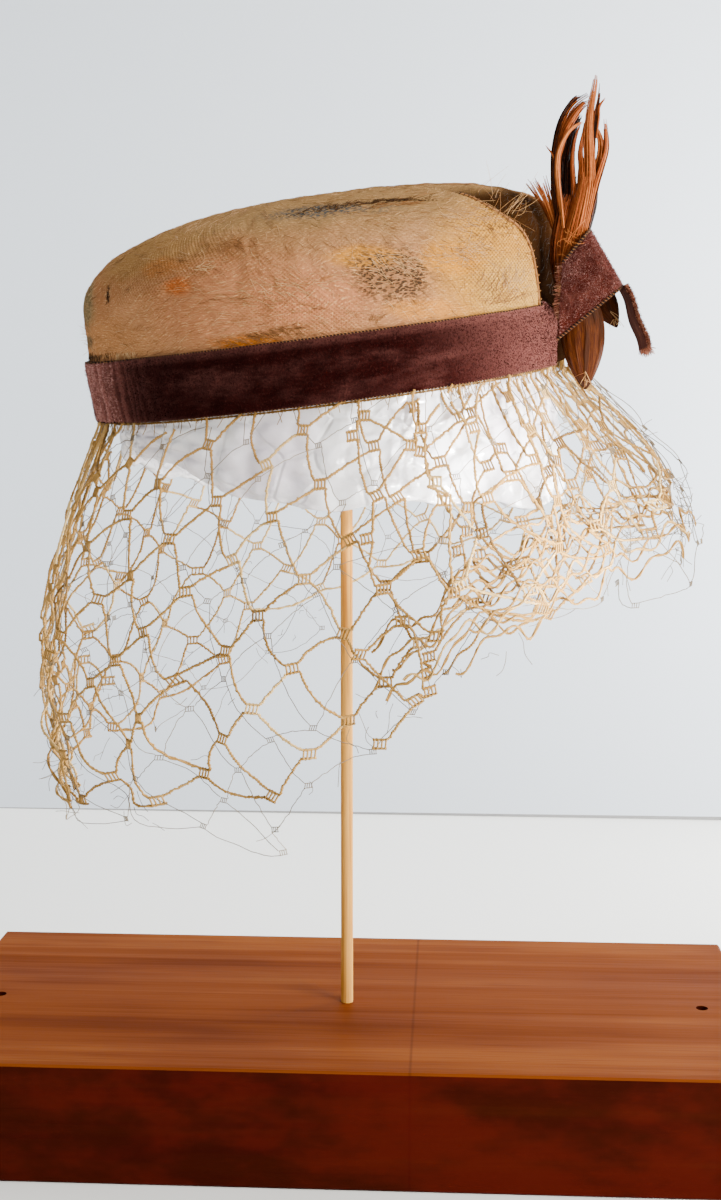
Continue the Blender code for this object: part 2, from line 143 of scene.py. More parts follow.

# Locks of the plume: their paths in mm from its root to +X and +Z, and their depth in mm to +Y. The
# near-black locks named dark_ lie behind the others as painted shade between the locks.
PLUME_LOCKS = named_rows(
    "name half_width strands tone depth tip path",
    ("stem", 2.4, 32, 0.66, -1.2, 0.22,
     [(3.2, 4.0), (5.6, 14.0), (7.4, 24.0), (8.6, 33.0), (8.5, 41.0), (8.1, 49.0), (8.5, 57.0),
      (9.9, 65.5), (10.3, 70.4)]),
    ("broad_foot", 4.6, 64, 0.60, -2.0, 0.55,
     [(-0.4, -3.0), (1.0, 5.0), (3.0, 13.0), (4.8, 21.0), (6.4, 29.0), (7.6, 37.0)]),
    ("foot_left", 2.4, 26, 0.36, -1.0, 0.7,
     [(-1.6, -4.0), (-2.6, 4.0), (-2.4, 12.0), (-0.8, 21.0), (1.2, 29.0)]),
    ("foot_back", 4.4, 34, 0.20, 1.6, 0.8, [(0.2, -2.0), (1.4, 8.0), (2.6, 18.0), (4.6, 28.0)]),
    ("short_tip", 1.0, 9, 0.25, 0.2, 0.3,
     [(5.0, 5.0), (7.6, 19.0), (9.2, 30.2), (9.6, 43.6), (10.2, 54.6), (11.4, 61.2), (11.8, 68.0)]),
    ("left_loop", 1.7, 26, 0.42, 0.6, 0.6,
     [(-1.8, 2.0), (-2.6, 12.0), (-2.4, 22.0), (-3.2, 33.0), (-2.8, 44.0), (-0.9, 52.5), (3.0, 59.2),
      (9.6, 63.6)]),
    ("left_rim", 0.7, 10, 0.16, 1.8, 0.6,
     [(-3.8, 24.0), (-4.4, 33.0), (-4.2, 44.0), (-2.2, 53.5), (1.8, 60.4), (5.2, 63.0)]),
    ("left_top", 1.5, 18, 0.48, -0.2, 0.4,
     [(-2.6, 41.0), (-0.6, 49.0), (2.4, 54.6), (5.6, 58.6), (8.6, 60.2)]),
    ("left_light", 0.8, 12, 0.85, -2.0, 0.4,
     [(-0.6, 16.0), (-1.8, 25.4), (-3.0, 34.6), (-2.6, 42.4), (0.4, 48.8), (3.4, 51.6), (6.4, 53.0)]),
    ("dark_left", 3.0, 40, 0.02, 2.2, 0.6,
     [(1.2, 4.0), (0.6, 14.0), (0.4, 24.0), (0.3, 33.0), (0.6, 41.4), (1.8, 48.0)]),
    ("dark_crown", 1.4, 16, 0.06, 2.0, 0.4, [(0.4, 40.0), (1.4, 47.0), (3.2, 52.4), (5.8, 56.4)]),
    ("inner", 1.0, 14, 0.40, 0.2, 0.3,
     [(2.6, 12.0), (3.2, 22.0), (3.0, 30.3), (2.4, 39.2), (3.2, 47.2), (5.8, 54.6)]),
    ("inner_right", 1.1, 14, 0.52, -0.4, 0.3,
     [(4.4, 16.0), (5.0, 28.3), (5.6, 36.9), (5.2, 42.7), (6.4, 49.8), (7.2, 56.8)]),
    ("right_loop", 1.4, 18, 0.60, 0.0, 0.3,
     [(5.8, 6.0), (8.2, 19.0), (10.4, 30.2), (12.6, 37.8), (14.2, 43.5), (14.2, 48.9), (13.4, 55.8)]),
    ("right_inner", 1.4, 18, 0.66, 0.8, 0.3,
     [(6.8, 14.0), (9.8, 28.2), (11.6, 37.1), (12.6, 44.7), (11.0, 50.3), (8.6, 53.0)]),
    ("dark_right", 1.6, 18, 0.02, 1.4, 0.4, [(7.4, 12.0), (9.8, 24.0), (10.6, 33.0), (11.0, 42.0)]),
    ("right_tip", 0.6, 7, 0.45, 0.5, 0.2, [(10.6, 47.5), (11.2, 54.4), (11.6, 58.4), (14.0, 61.8)]),
    ("fan", 1.1, 13, 0.70, 1.4, 3.0, [(-0.6, 8.0), (-2.6, 15.0), (-4.8, 22.0), (-7.2, 28.5), (-9.8, 35.0)]),
    ("fan_far", 0.8, 8, 0.62, 2.6, 3.4,
     [(-0.6, 6.0), (-3.0, 15.0), (-6.4, 23.0), (-10.2, 29.5), (-13.6, 34.6)]),
    ("wisp", 0.35, 4, 0.40, 0.8, 0.4, [(-3.4, 33.8), (-4.3, 41.0), (-7.8, 45.9)]),
)

# Buds from the plume's root, in mm and degrees from upright: the model's two almonds of stiff feather.
BUDS = {
    "feather_bud_front": {"neck": (6.1, -7.0), "lean": 3.7, "length": 34.3, "width": 16.0, "thick": 8.4},
    "feather_bud_back": {"neck": (10.8, -1.6), "lean": 29.0, "length": 19.6, "width": 9.9, "thick": 5.5},
}

# Colour patches of the crown: the middle's angle and height, half size in mm along X, Y and Z, and colour.
CROWN_PATCHES = named_rows(
    "at size colour strength wobble",
    ((-90, 0.97), (110, 75, 20), (0.275, 0.165, 0.066), 0.90, 0.35),
    ((-136, 0.80), (30, 30, 10), (0.34, 0.19, 0.065), 0.75, 0.4),
    ((-104, 0.50), (34, 30, 15), (0.41, 0.155, 0.070), 0.65, 0.4),
    ((-88, 0.46), (20, 20, 9), (0.43, 0.155, 0.066), 0.65, 0.4),
    ((-46, 0.50), (24, 30, 24), (0.54, 0.25, 0.036), 0.92, 0.25),
    ((-42, 0.38), (14, 22, 12), (0.66, 0.37, 0.085), 0.70, 0.4),
    ((-150, 0.36), (26, 36, 11), (0.46, 0.20, 0.07), 0.50, 0.4),
    ((-58, 0.58), (11, 12, 5), (0.60, 0.24, 0.018), 0.85, 0.6),
    ((-76, 0.64), (11, 12, 3.5), (0.52, 0.21, 0.018), 0.80, 0.6),
    ((-64, 0.36), (16, 12, 3.6), (0.60, 0.23, 0.030), 0.70, 0.6),
    ((-103, 0.315), (12, 12, 3.0), (0.48, 0.13, 0.008), 0.95, 0.7),
    ((-118, 0.62), (5.5, 6, 3.2), (0.42, 0.09, 0.012), 0.80, 0.5),
    ((-124, 0.72), (12, 12, 3.5), (0.40, 0.12, 0.025), 0.55, 0.6),
    ((-161, 0.60), (9, 18, 9), (0.22, 0.17, 0.080), 0.85, 0.6),
    ((55, 0.50), (26, 26, 14), (0.56, 0.22, 0.075), 0.70, 0.5),
    ((112, 0.66), (34, 24, 10), (0.34, 0.17, 0.055), 0.80, 0.5),
    ((152, 0.45), (20, 26, 12), (0.62, 0.30, 0.090), 0.60, 0.5),
    ((-163, 0.41), (8, 14, 2.2), (0.10, 0.085, 0.050), 0.80, 0.6),
)

# Dark scaly marks of the crown, where the barbs' dark tips show through the tulle.
CROWN_MARKS = named_rows(
    "at size colour strength wobble",
    ((-71, 0.54), (14.5, 14, 10.0), (0.060, 0.034, 0.020), 0.92, 0.50),
    ((-84, 0.885), (27, 10, 3.8), (0.060, 0.070, 0.070), 0.88, 0.30),
    ((-62, 0.885), (14, 10, 0.8), (0.016, 0.012, 0.008), 1.0, 0.20),
    ((-161, 0.60), (9, 14, 8), (0.06, 0.05, 0.035), 0.65, 0.5),
    ((84, 0.60), (20, 12, 5.0), (0.060, 0.036, 0.022), 0.80, 0.6),
    ((-143, 0.63), (1.0, 3, 5.5), (0.04, 0.03, 0.02), 0.8, 0.2),
)

# Where the crown's tulle shows most.
TULLE_PATCHES = named_rows(
    "at size strength wobble",
    ((-128, 0.76), (34, 30, 14), 0.75, 0.4),
    ((-44, 0.55), (17, 26, 24), 0.70, 0.4),
    ((-92, 0.40), (26, 20, 10), 0.35, 0.4),
    ((-60, 0.95), (50, 40, 12), 0.35, 0.4),
    ((90, 0.60), (90, 60, 30), 0.50, 0.4),
)

# Ruffled feather tips on the crown: place and its spread, count, mm long, heading and its spread in degrees,
# tone, and metres that the tips stand off.
CROWN_TUFTS = named_rows(
    "at area count length heading spread tone lift",
    ((-106, 0.77), (5, 0.03), 60, 5.0, -25, 28, 0.48, 0.0007),
    ((-112, 0.69), (3, 0.015), 26, 4.0, 5, 20, 0.92, 0.0006),
    ((-103, 0.345), (7, 0.02), 70, 5.0, -38, 16, 0.36, 0.0005),
    ((-96, 0.36), (5, 0.015), 40, 5.0, -28, 14, 0.26, 0.0005),
    ((-158, 0.335), (14, 0.015), 140, 2.6, -88, 22, 0.10, 0.0006),
    ((-139, 0.335), (4, 0.012), 46, 3.6, -70, 20, 0.85, 0.0007),
    ((-70, 0.60), (9, 0.06), 90, 4.5, -32, 18, 0.80, 0.0003),
    ((-56, 0.60), (5, 0.05), 70, 4.5, -12, 24, 0.80, 0.0004),
    ((-54, 0.64), (6, 0.05), 30, 4.0, -15, 22, 0.24, 0.0003),
    ((-48, 0.42), (6, 0.05), 46, 5.0, 45, 24, 0.36, 0.0002),
    ((-44, 0.36), (6, 0.03), 46, 5.0, 25, 22, 0.40, 0.0002),
    ((-42, 0.44), (5, 0.06), 60, 4.0, 40, 34, 0.90, 0.0004),
    ((-50, 0.76), (8, 0.05), 70, 5.0, 140, 26, 0.80, 0.0004),
    ((-45, 0.70), (5, 0.04), 30, 4.0, 130, 30, 0.26, 0.0003),
    ((-66, 0.885), (9, 0.008), 70, 5.0, 5, 8, 0.02, 0.0003),
    ((-80, 0.885), (10, 0.018), 130, 2.4, 28, 9, 0.02, 0.0003),
    ((-66, 0.865), (8, 0.008), 40, 4.0, -10, 12, 0.36, 0.0003),
    ((-96, 0.55), (14, 0.05), 90, 5.5, -22, 22, 0.74, 0.0003),
    ((-76, 0.345), (1.2, 0.01), 14, 3.4, 55, 8, 0.34, 0.0012),
    ((-143, 0.63), (0.5, 0.03), 26, 2.2, -90, 10, 0.02, 0.0003),
    ((-70, 0.80), (10, 0.03), 60, 4.0, -15, 20, 0.74, 0.0003),
)

# How the veil falls round the hat: mm down and out, and how far round its curve runs in degrees.
VEIL_FALL = named_rows(
    "angle drop flare curve",
    (0, 64, 50, 90),
    (45, 76, 34, 90),
    (90, 100, 21, 120),
    (135, 130, 21, 140),
    (180, 143, 25, 140),
    (225, 140, 24, 130),
    (262, 141, 21, 120),
    (276, 136, 21, 115),
    (288, 106, 21, 105),
    (300, 88, 24, 100),
    (330, 72, 37, 90),
    (360, 64, 50, 90),
)

# The veil's nets: where each one lies, in degrees round the hat, and how its threads differ.
NETS = named_rows(
    "name seed shift spread fine lift skip gather reach scatter",
    ("veil_net", 51, 0.004, (-2, 360), False, 0.0, 0.0, 1.0, 0.965, 0.0010),
    ("veil_gather", 52, 0.011, (276, 356), False, 0.004, 0.08, 0.62, 0.97, 0.0032),
    ("veil_gather_far", 57, 0.002, (290, 350), False, -0.004, 0.16, 0.70, 0.90, 0.0034),
    ("veil_side", 53, 0.009, (152, 214), False, 0.003, 0.12, 0.75, 0.98, 0.0028),
    ("veil_fine", 54, 0.013, (-2, 360), True, 0.0018, 0.03, 1.0, 1.04, 0.0030),
    ("veil_fine_wide", 58, 0.006, (-50, 30), True, 0.007, 0.10, 0.9, 1.12, 0.0040),
)

# Hairs and threads: the colours that their tone runs through, and their roughness.
HAIRS = named_rows(
    "name dark middle light roughness",
    ("barb", (0.026, 0.012, 0.005), (0.30, 0.13, 0.044), (0.64, 0.39, 0.18), 0.6),
    ("velvet_pile", (0.012, 0.0016, 0.0012), (0.17, 0.050, 0.040), (0.56, 0.28, 0.24), 0.9),
    ("velvet_fray", (0.04, 0.009, 0.006), (0.19, 0.056, 0.032), (0.44, 0.20, 0.12), 0.85),
    ("plume_strand", (0.008, 0.0025, 0.001), (0.24, 0.050, 0.009), (0.62, 0.19, 0.048), 0.5),
    ("net_thread", (0.13, 0.066, 0.017), (0.39, 0.215, 0.058), (0.82, 0.57, 0.24), 0.65),
    ("fine_thread", (0.09, 0.068, 0.042), (0.20, 0.150, 0.095), (0.45, 0.36, 0.25), 0.7),
)

rng = np.random.default_rng(7)


def mix(first, second, share):
    return first + (second - first) * share


def smooth_step(low, high, value):
    share = np.clip((value - low) / (high - low), 0, 1)
    return share * share * (3 - 2 * share)


def unit(vectors):
    return vectors / np.maximum(np.linalg.norm(vectors, axis=-1, keepdims=True), 1e-12)


def bell(value, middle, width):
    return np.exp(-(((value - middle) / width) ** 2))


def full_turn(count):
    """Evenly stepped angles all round."""
    return np.arange(count) * 2 * math.pi / count


def signed_degrees(angle):
    """The angle in degrees, between -180 and 180."""
    return (np.degrees(angle) + 180) % 360 - 180


def run_along(path):
    """How far along the path each of its points lies."""
    return np.concatenate([[0], np.cumsum(np.linalg.norm(np.diff(path, axis=0), axis=1))])


def waves(points, scale, seed, octaves=3):
    """A smooth mottle between about -1 and 1 over points, from a few crossed sine waves of this size."""
    chooser = np.random.default_rng(seed)
    total = np.zeros(points.shape[:-1])
    weight = 0.0
    for octave in range(octaves):
        for _ in range(3):
            direction = chooser.normal(size=points.shape[-1])
            direction /= np.linalg.norm(direction)
            turn = points @ direction * (2 * math.pi * 2**octave / scale) + chooser.uniform(0, 6.28)
            total += np.sin(turn + 1.7 * np.sin(0.6 * turn + octave)) / 2**octave
        weight += 1.6 / 2**octave
    return total / weight


def smooth_path(points, count):
    """Evenly stepped points of a Catmull-Rom curve through the given ones."""
    points = np.asarray(points, float)
    ends = np.vstack([2 * points[0] - points[1], points, 2 * points[-1] - points[-2]])
    place = np.linspace(0, len(points) - 1, count)
    first = np.minimum(place.astype(int), len(points) - 2)
    share = (place - first)[:, None]
    before, start, end, after = (ends[first + step] for step in range(4))
    bend = (2 * before - 5 * start + 4 * end - after) * share**2
    twist = (3 * start - before - 3 * end + after) * share**3
    return (2 * start + (end - before) * share + bend + twist) / 2


def bezier(start, start_pull, end_pull, end, count):
    share = np.linspace(0, 1, count)[:, None]
    rest = 1 - share
    near = rest**3 * start + 3 * rest**2 * share * start_pull
    return near + 3 * rest * share**2 * end_pull + share**3 * end


def hat_matrix():
    roll = Matrix.Rotation(-HAT_ROLL, 4, "Y")
    pitch = Matrix.Rotation(HAT_PITCH, 4, "X")
    return np.array(Matrix.Translation(RIM_CENTRE) @ roll @ pitch)


HAT = hat_matrix()
HAT_UP = HAT[:3, 2]


def place(points):
    """Upright hat points, put where the hat sits on the stand."""
    return points @ HAT[:3, :3].T + HAT[:3, 3]


def by_side(values, angle):
    return mix(values["plain_side"], values["plume_side"], 0.5 + 0.5 * np.cos(angle))


def crown_upright(angle, rise):
    """Points of the upright crown's outer face: rise 0 is the opening's edge and 1 is the top."""
    angle, rise = np.broadcast_arrays(np.asarray(angle, float), np.asarray(rise, float))
    shoulder = by_side(SHOULDER_SHARE, angle) * CROWN_HEIGHT
    power = 2 / by_side(ROUNDNESS, angle)
    turn = np.clip((rise - WALL_SHARE) / (1 - WALL_SHARE), 0, 1) * math.pi / 2
    on_wall = rise < WALL_SHARE
    on_dome = shoulder + (CROWN_HEIGHT - shoulder) * np.maximum(np.sin(turn), 0) ** power
    height = np.where(on_wall, shoulder * rise / WALL_SHARE, on_dome)
    reach = np.where(on_wall, 1.0, np.maximum(np.cos(turn), 0) ** power)
    swell = by_side(SWELL, angle) * np.sin(math.pi / 2 * np.clip(rise / WALL_SHARE, 0, 1))
    swell = swell - DENT_DEPTH * dent(angle, height / CROWN_HEIGHT)
    along = (RIM_HALF_LENGTH + swell) * reach
    across = (RIM_HALF_DEPTH + swell) * reach
    return np.stack([along * np.cos(angle), across * np.sin(angle), height], axis=-1)


def behind_ridge(angle, height):
    """How far behind its ridge a place of the crown lies, in degrees."""
    degrees = signed_degrees(angle)
    ridge = np.array(RIDGE)[::-1]
    return degrees - np.interp(height, ridge[:, 1], ridge[:, 0])


def dent(angle, height):
    """How deep the crown is pressed in behind its ridge, from 0 to 1."""
    degrees = signed_degrees(angle)
    edge = smooth_step(-0.5, 6.5, behind_ridge(angle, height))
    behind = 1 - smooth_step(-12, 12, degrees)
    upper = 1 - smooth_step(0.86, 1.0, height)
    lower = smooth_step(0.18, 0.40, height)
    return edge * behind * upper * lower


def on_crown(angle, rise, lift=0.0):
    """Placed points this far outside the crown's outer face."""
    angle, rise = np.broadcast_arrays(np.asarray(angle, float), np.asarray(rise, float))
    step = 0.002
    across = crown_upright(angle + step, rise) - crown_upright(angle - step, rise)
    upward = crown_upright(angle, rise + step) - crown_upright(angle, rise - step)
    normal = unit(np.cross(across, upward))
    return place(crown_upright(angle, rise) + normal * np.asarray(lift, float)[..., None])


def rise_of(angle, height_share):
    """The rise at which the crown is this high."""
    rises = np.linspace(0, 1, 400)
    heights = crown_upright(np.full(400, angle), rises)[:, 2] / CROWN_HEIGHT
    return float(np.interp(height_share, heights, rises))


def crown_spot(at):
    """The placed point of the crown at an angle in degrees and a share of its height."""
    angle = math.radians(at[0])
    return on_crown(angle, rise_of(angle, at[1]))


def mesh_object(name, points, faces, surface, smooth=False):
    mesh = bpy.data.meshes.new(name)
    mesh.from_pydata([tuple(point) for point in points], [], [tuple(face) for face in faces])
    mesh.materials.append(surface)
    if smooth:
        mesh.shade_smooth()
    made = bpy.data.objects.new(name, mesh)
    bpy.context.scene.collection.objects.link(made)
    return made


def show(name, points, faces, surface):
    """A shown mesh object, in the frame, which rides with the part's one body."""
    made = mesh_object(name, points, faces, surface, smooth=True)
    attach(made, "root")
    return made


def grid_faces(rows, columns, wrap=False):
    """Faces of a grid of points in row order; the columns may close round."""
    row, column = np.meshgrid(np.arange(rows - 1), np.arange(columns if wrap else columns - 1), indexing="ij")
    after = (column + 1) % columns
    low, high = row * columns, (row + 1) * columns
    return np.stack([low + column, low + after, high + after, high + column], axis=-1).reshape(-1, 4)


def give_uv(piece, coordinates):
    """One UV pair for each point of the mesh, in metres on the surface."""
    layer = piece.data.uv_layers.new(name="surface")
    points = np.empty(len(piece.data.loops), np.int32)
    piece.data.loops.foreach_get("vertex_index", points)
    layer.data.foreach_set("uv", np.asarray(coordinates, np.float32)[points].ravel())


def give_value(piece, name, values):
    """One number for each point of the mesh, which its material reads by name."""
    layer = piece.data.attributes.new(name, "FLOAT", "POINT")
    layer.data.foreach_set("value", np.asarray(values, np.float32))


def ribbon(name, outer, inner, uv, surface):
    """A closed strip between an outer and an inner grid of points, rows across and columns along."""
    rows, columns = outer.shape[:2]
    count = rows * columns
    faces = [grid_faces(rows, columns), grid_faces(rows, columns)[:, ::-1] + count]
    index = np.arange(count).reshape(rows, columns)
    border = np.concatenate([index[0, :-1], index[:-1, -1], index[-1, :0:-1], index[:0:-1, 0]])
    after = np.roll(border, -1)
    faces.append(np.stack([border, border + count, after + count, after], axis=-1))
    points = np.concatenate([outer.reshape(-1, 3), inner.reshape(-1, 3)])
    piece = show(name, points, np.concatenate(faces), surface)
    give_uv(piece, np.concatenate([uv.reshape(-1, 2)] * 2))
    return piece


class Threads:
    """Collects round or flat strands and makes one mesh of them."""

    def __init__(self):
        self.points = []
        self.faces = []
        self.tones = []
        self.runs = []
        self.count = 0

    def add(self, path, radius, sides=4, tone=0.5, flat=1.0, face=(0.31, -0.93, 0.19)):
        """A strand along the path. Its radius may change along it, and flat squeezes it along face."""
        path = np.asarray(path, float)
        count = len(path)
        along = unit(np.gradient(path, axis=0))
        side = unit(np.cross(along, np.asarray(face, float)))
        outward = np.cross(side, along)
        turn = full_turn(sides)
        radius = np.broadcast_to(np.asarray(radius, float), (count,))[:, None, None]
        ring = side[:, None] * np.cos(turn)[:, None] + outward[:, None] * (np.sin(turn) * flat)[:, None]
        self.points.append((path[:, None] + ring * radius).reshape(-1, 3))
        self.faces.append(grid_faces(count, sides, wrap=True) + self.count)
        self.tones.append(np.full(count * sides, tone))
        self.runs.append(np.repeat(np.linspace(0, 1, count), sides))
        self.count += count * sides

    def twist(self, path, radius, pitch, tone=0.5, phase=0.0):
        """A strand of two plies that turn round each other."""
        path = np.asarray(path, float)
        along = unit(np.gradient(path, axis=0))
        side = unit(np.cross(along, np.array([0.31, -0.93, 0.19])))
        outward = np.cross(side, along)
        run = run_along(path)
        for ply in (0, math.pi):
            turn = (run / pitch * 2 * math.pi + ply + phase)[:, None]
            self.add(path + (side * np.cos(turn) + outward * np.sin(turn)) * radius * 0.85, radius, 4, tone)

    def make(self, name, surface):
        piece = show(name, np.concatenate(self.points), np.concatenate(self.faces), surface)
        give_value(piece, "tone", np.concatenate(self.tones))
        give_value(piece, "run", np.concatenate(self.runs))
        return piece


def fuzz(name, roots, tips, width, tones, surface):
    """Many short hairs, each one thin triangle from its root to its tip."""
    along = tips - roots
    side = unit(np.cross(along, rng.normal(size=along.shape))) * (width / 2)
    points = np.stack([roots - side, roots + side, tips], axis=1).reshape(-1, 3)
    faces = np.arange(len(points)).reshape(-1, 3)
    piece = show(name, points, faces, surface)
    give_value(piece, "tone", np.repeat(tones, 3))
    give_value(piece, "run", np.tile([0.0, 0.0, 1.0], len(roots)))
    return piece


class Surface:
    """A node material, built up from the shader's inputs backwards."""

    def __init__(self, name, roughness, **constants):
        self.material = bpy.data.materials.new(name)
        self.material.use_nodes = True
        self.tree = self.material.node_tree
        self.shader = self.tree.nodes["Principled BSDF"]
        self.shader.inputs["Roughness"].default_value = roughness
        for socket, value in constants.items():
            self.shader.inputs[socket.replace("_", " ")].default_value = value
        self.place = self.add("ShaderNodeNewGeometry").outputs["Position"]

    def add(self, kind, inputs=None, **settings):
        node = self.tree.nodes.new(kind)
        for name, value in settings.items():
            setattr(node, name, value)
        for socket, value in (inputs or {}).items():
            if isinstance(value, bpy.types.NodeSocket):
                self.tree.links.new(value, node.inputs[socket])
            else:
                node.inputs[socket].default_value = value
        return node

    def calc(self, operation, *values):
        node = self.add("ShaderNodeMath", dict(enumerate(values)), operation=operation)
        return node.outputs[0]

    def vector(self, operation, *values):
        node = self.add("ShaderNodeVectorMath", dict(enumerate(values)), operation=operation)
        return node.outputs["Value" if operation in ("LENGTH", "DOT_PRODUCT") else "Vector"]

    def times(self, first, second):
        return self.calc("MULTIPLY", first, second)

    def plus(self, first, second):
        return self.calc("ADD", first, second)

    def scaled(self, vector, scale):
        return self.vector("MULTIPLY", vector, scale)

    def noise(self, vector, scale, detail=3.0, roughness=0.55, distortion=0.0):
        inputs = {"Vector": vector, "Scale": scale, "Detail": detail}
        inputs.update({"Roughness": roughness, "Distortion": distortion})
        return self.add("ShaderNodeTexNoise", inputs).outputs["Fac"]

    def cells(self, vector, scale, feature="F1"):
        node = self.add("ShaderNodeTexVoronoi", {"Vector": vector, "Scale": scale}, feature=feature)
        return node.outputs["Distance"]

    def step(self, value, low, high, bottom=0.0, top=1.0):
        inputs = {"Value": value, "From Min": low, "From Max": high, "To Min": bottom, "To Max": top}
        return self.add("ShaderNodeMapRange", inputs, interpolation_type="SMOOTHSTEP").outputs["Result"]

    def blend(self, share, first, second, mode="MIX"):
        node = self.add("ShaderNodeMix", {"Factor": share}, data_type="RGBA", blend_type=mode)
        for socket, value in ((6, first), (7, second)):
            if isinstance(value, bpy.types.NodeSocket):
                self.tree.links.new(value, node.inputs[socket])
            else:
                node.inputs[socket].default_value = (*value, 1.0)
        return node.outputs[2]

    def uv(self):
        return self.add("ShaderNodeUVMap", uv_map="surface").outputs["UV"]

    def value(self, name):
        return self.add("ShaderNodeAttribute", attribute_name=name).outputs["Fac"]

    def part(self, vector, axis):
        return self.add("ShaderNodeSeparateXYZ", {"Vector": vector}).outputs[axis]

    def colour(self, socket):
        self.tree.links.new(socket, self.shader.inputs["Base Color"])

    def rough(self, socket):
        self.tree.links.new(socket, self.shader.inputs["Roughness"])

    def bump(self, height, distance, strength):
        node = self.add("ShaderNodeBump", {"Height": height, "Distance": distance, "Strength": strength})
        self.tree.links.new(node.outputs["Normal"], self.shader.inputs["Normal"])

    def patch(self, row):
        """A soft mask round a spot of the crown, with an uneven edge."""
        away = self.vector("SUBTRACT", self.place, tuple(crown_spot(row["at"])))
        away = self.scaled(away, tuple(1000 / size for size in row["size"]))
        uneven = self.noise(self.place, 90.0, 4.0)
        reach = self.plus(self.vector("LENGTH", away), self.times(uneven, row["wobble"] * 2))
        edge = row["wobble"] + 1.0
        return self.step(reach, edge + 0.35, edge - 0.45, 0.0, row["strength"])


def crown_surface():
    """Tan body feathers under fine tulle: soft patches, dark scaly marks, barbs and the tulle's grid, with
    painted shade in the dent behind the ridge.
    """
    skin = Surface("crown_feathers", 0.9, Specular_IOR_Level=0.0)
    uv = skin.uv()
    broad = skin.noise(skin.place, 28.0, 3.0)
    colour = skin.blend(skin.step(broad, 0.35, 0.65), (0.35, 0.150, 0.062), (0.41, 0.185, 0.080))
    for row in CROWN_PATCHES:
        colour = skin.blend(skin.patch(row), colour, row["colour"])
    swirl = skin.add("ShaderNodeTexNoise", {"Vector": skin.place, "Scale": 22.0}).outputs["Color"]
    warp = skin.vector("ADD", uv, skin.scaled(swirl, (0.03, 0.03, 0.0)))
    barbs = skin.noise(skin.scaled(warp, (230.0, 1500.0, 1.0)), 1.0, 4.0, 0.7, 0.6)
    fine = skin.noise(skin.scaled(warp, (500.0, 2400.0, 1.0)), 1.0, 2.0, 0.6, 0.3)
    colour = skin.blend(skin.step(barbs, 0.50, 0.70, 0.0, 0.65), colour, (0.20, 0.080, 0.022))
    colour = skin.blend(skin.step(fine, 0.52, 0.74, 0.0, 0.60), colour, (0.80, 0.46, 0.20))
    small = skin.add("ShaderNodeTexNoise", {"Vector": skin.place, "Scale": 120.0}).outputs["Color"]
    rough_uv = skin.vector("ADD", uv, skin.scaled(small, (0.0022, 0.0022, 0.0)))
    cell = skin.cells(skin.scaled(rough_uv, (700.0, 1500.0, 1.0)), 1.0)
    scaly = skin.step(cell, 0.62, 0.36, 0.0, 0.9)
    for row in CROWN_MARKS:
        mask = skin.patch(row)
        dark = skin.times(mask, skin.plus(scaly, skin.step(mask, 0.6, 1.2, 0.0, 0.5)))
        colour = skin.blend(skin.calc("MINIMUM", dark, 1.0), colour, row["colour"])
    shown = skin.step(skin.noise(skin.place, 60.0, 2.0), 0.3, 0.7, 0.05, 0.30)
    for row in TULLE_PATCHES:
        shown = skin.calc("MAXIMUM", shown, skin.patch(row))
    holes = skin.times(tulle(skin, uv), shown)
    colour = skin.blend(skin.times(holes, 0.75), colour, (0.17, 0.070, 0.018))
    # Painted shade in the dent behind the ridge: near-black brown, darker towards the bottom by the plume's
    # foot.
    behind = skin.value("behind")
    low = skin.step(skin.part(skin.place, 2), 0.349, 0.332)
    shade = skin.blend(low, (0.018, 0.005, 0.001), (0.008, 0.0025, 0.001))
    colour = skin.blend(skin.step(behind, 0.0, 1.0, 0.0, 0.96), colour, shade)
    skin.colour(colour)
    height = skin.calc("SUBTRACT", barbs, skin.times(holes, 0.6))
    height = skin.plus(height, skin.times(skin.noise(skin.place, 130.0, 3.0), 2.0))
    skin.bump(height, 0.0010, 0.8)
    return skin.material


def tulle(skin, uv):
    """The dark holes of a fine net: a slanted grid on the side and a level one on the top."""
    normal = skin.add("ShaderNodeNewGeometry").outputs["Normal"]
    top = skin.step(skin.part(normal, 2), 0.80, 0.93)
    turns = 2 * math.pi / TULLE_PITCH
    grids = []
    for vector in (uv, skin.place):
        first, second = skin.part(vector, 0), skin.part(vector, 1)
        rows = skin.calc("SINE", skin.times(skin.plus(second, skin.times(first, 0.12)), turns))
        columns = skin.calc("SINE", skin.times(skin.calc("SUBTRACT", first, skin.times(second, 0.12)), turns))
        grids.append(skin.step(skin.times(rows, columns), -0.15, 0.7))
    flat = skin.add("ShaderNodeMix", {"Factor": top, 2: grids[0], 3: grids[1]}, data_type="FLOAT")
    return flat.outputs[0]


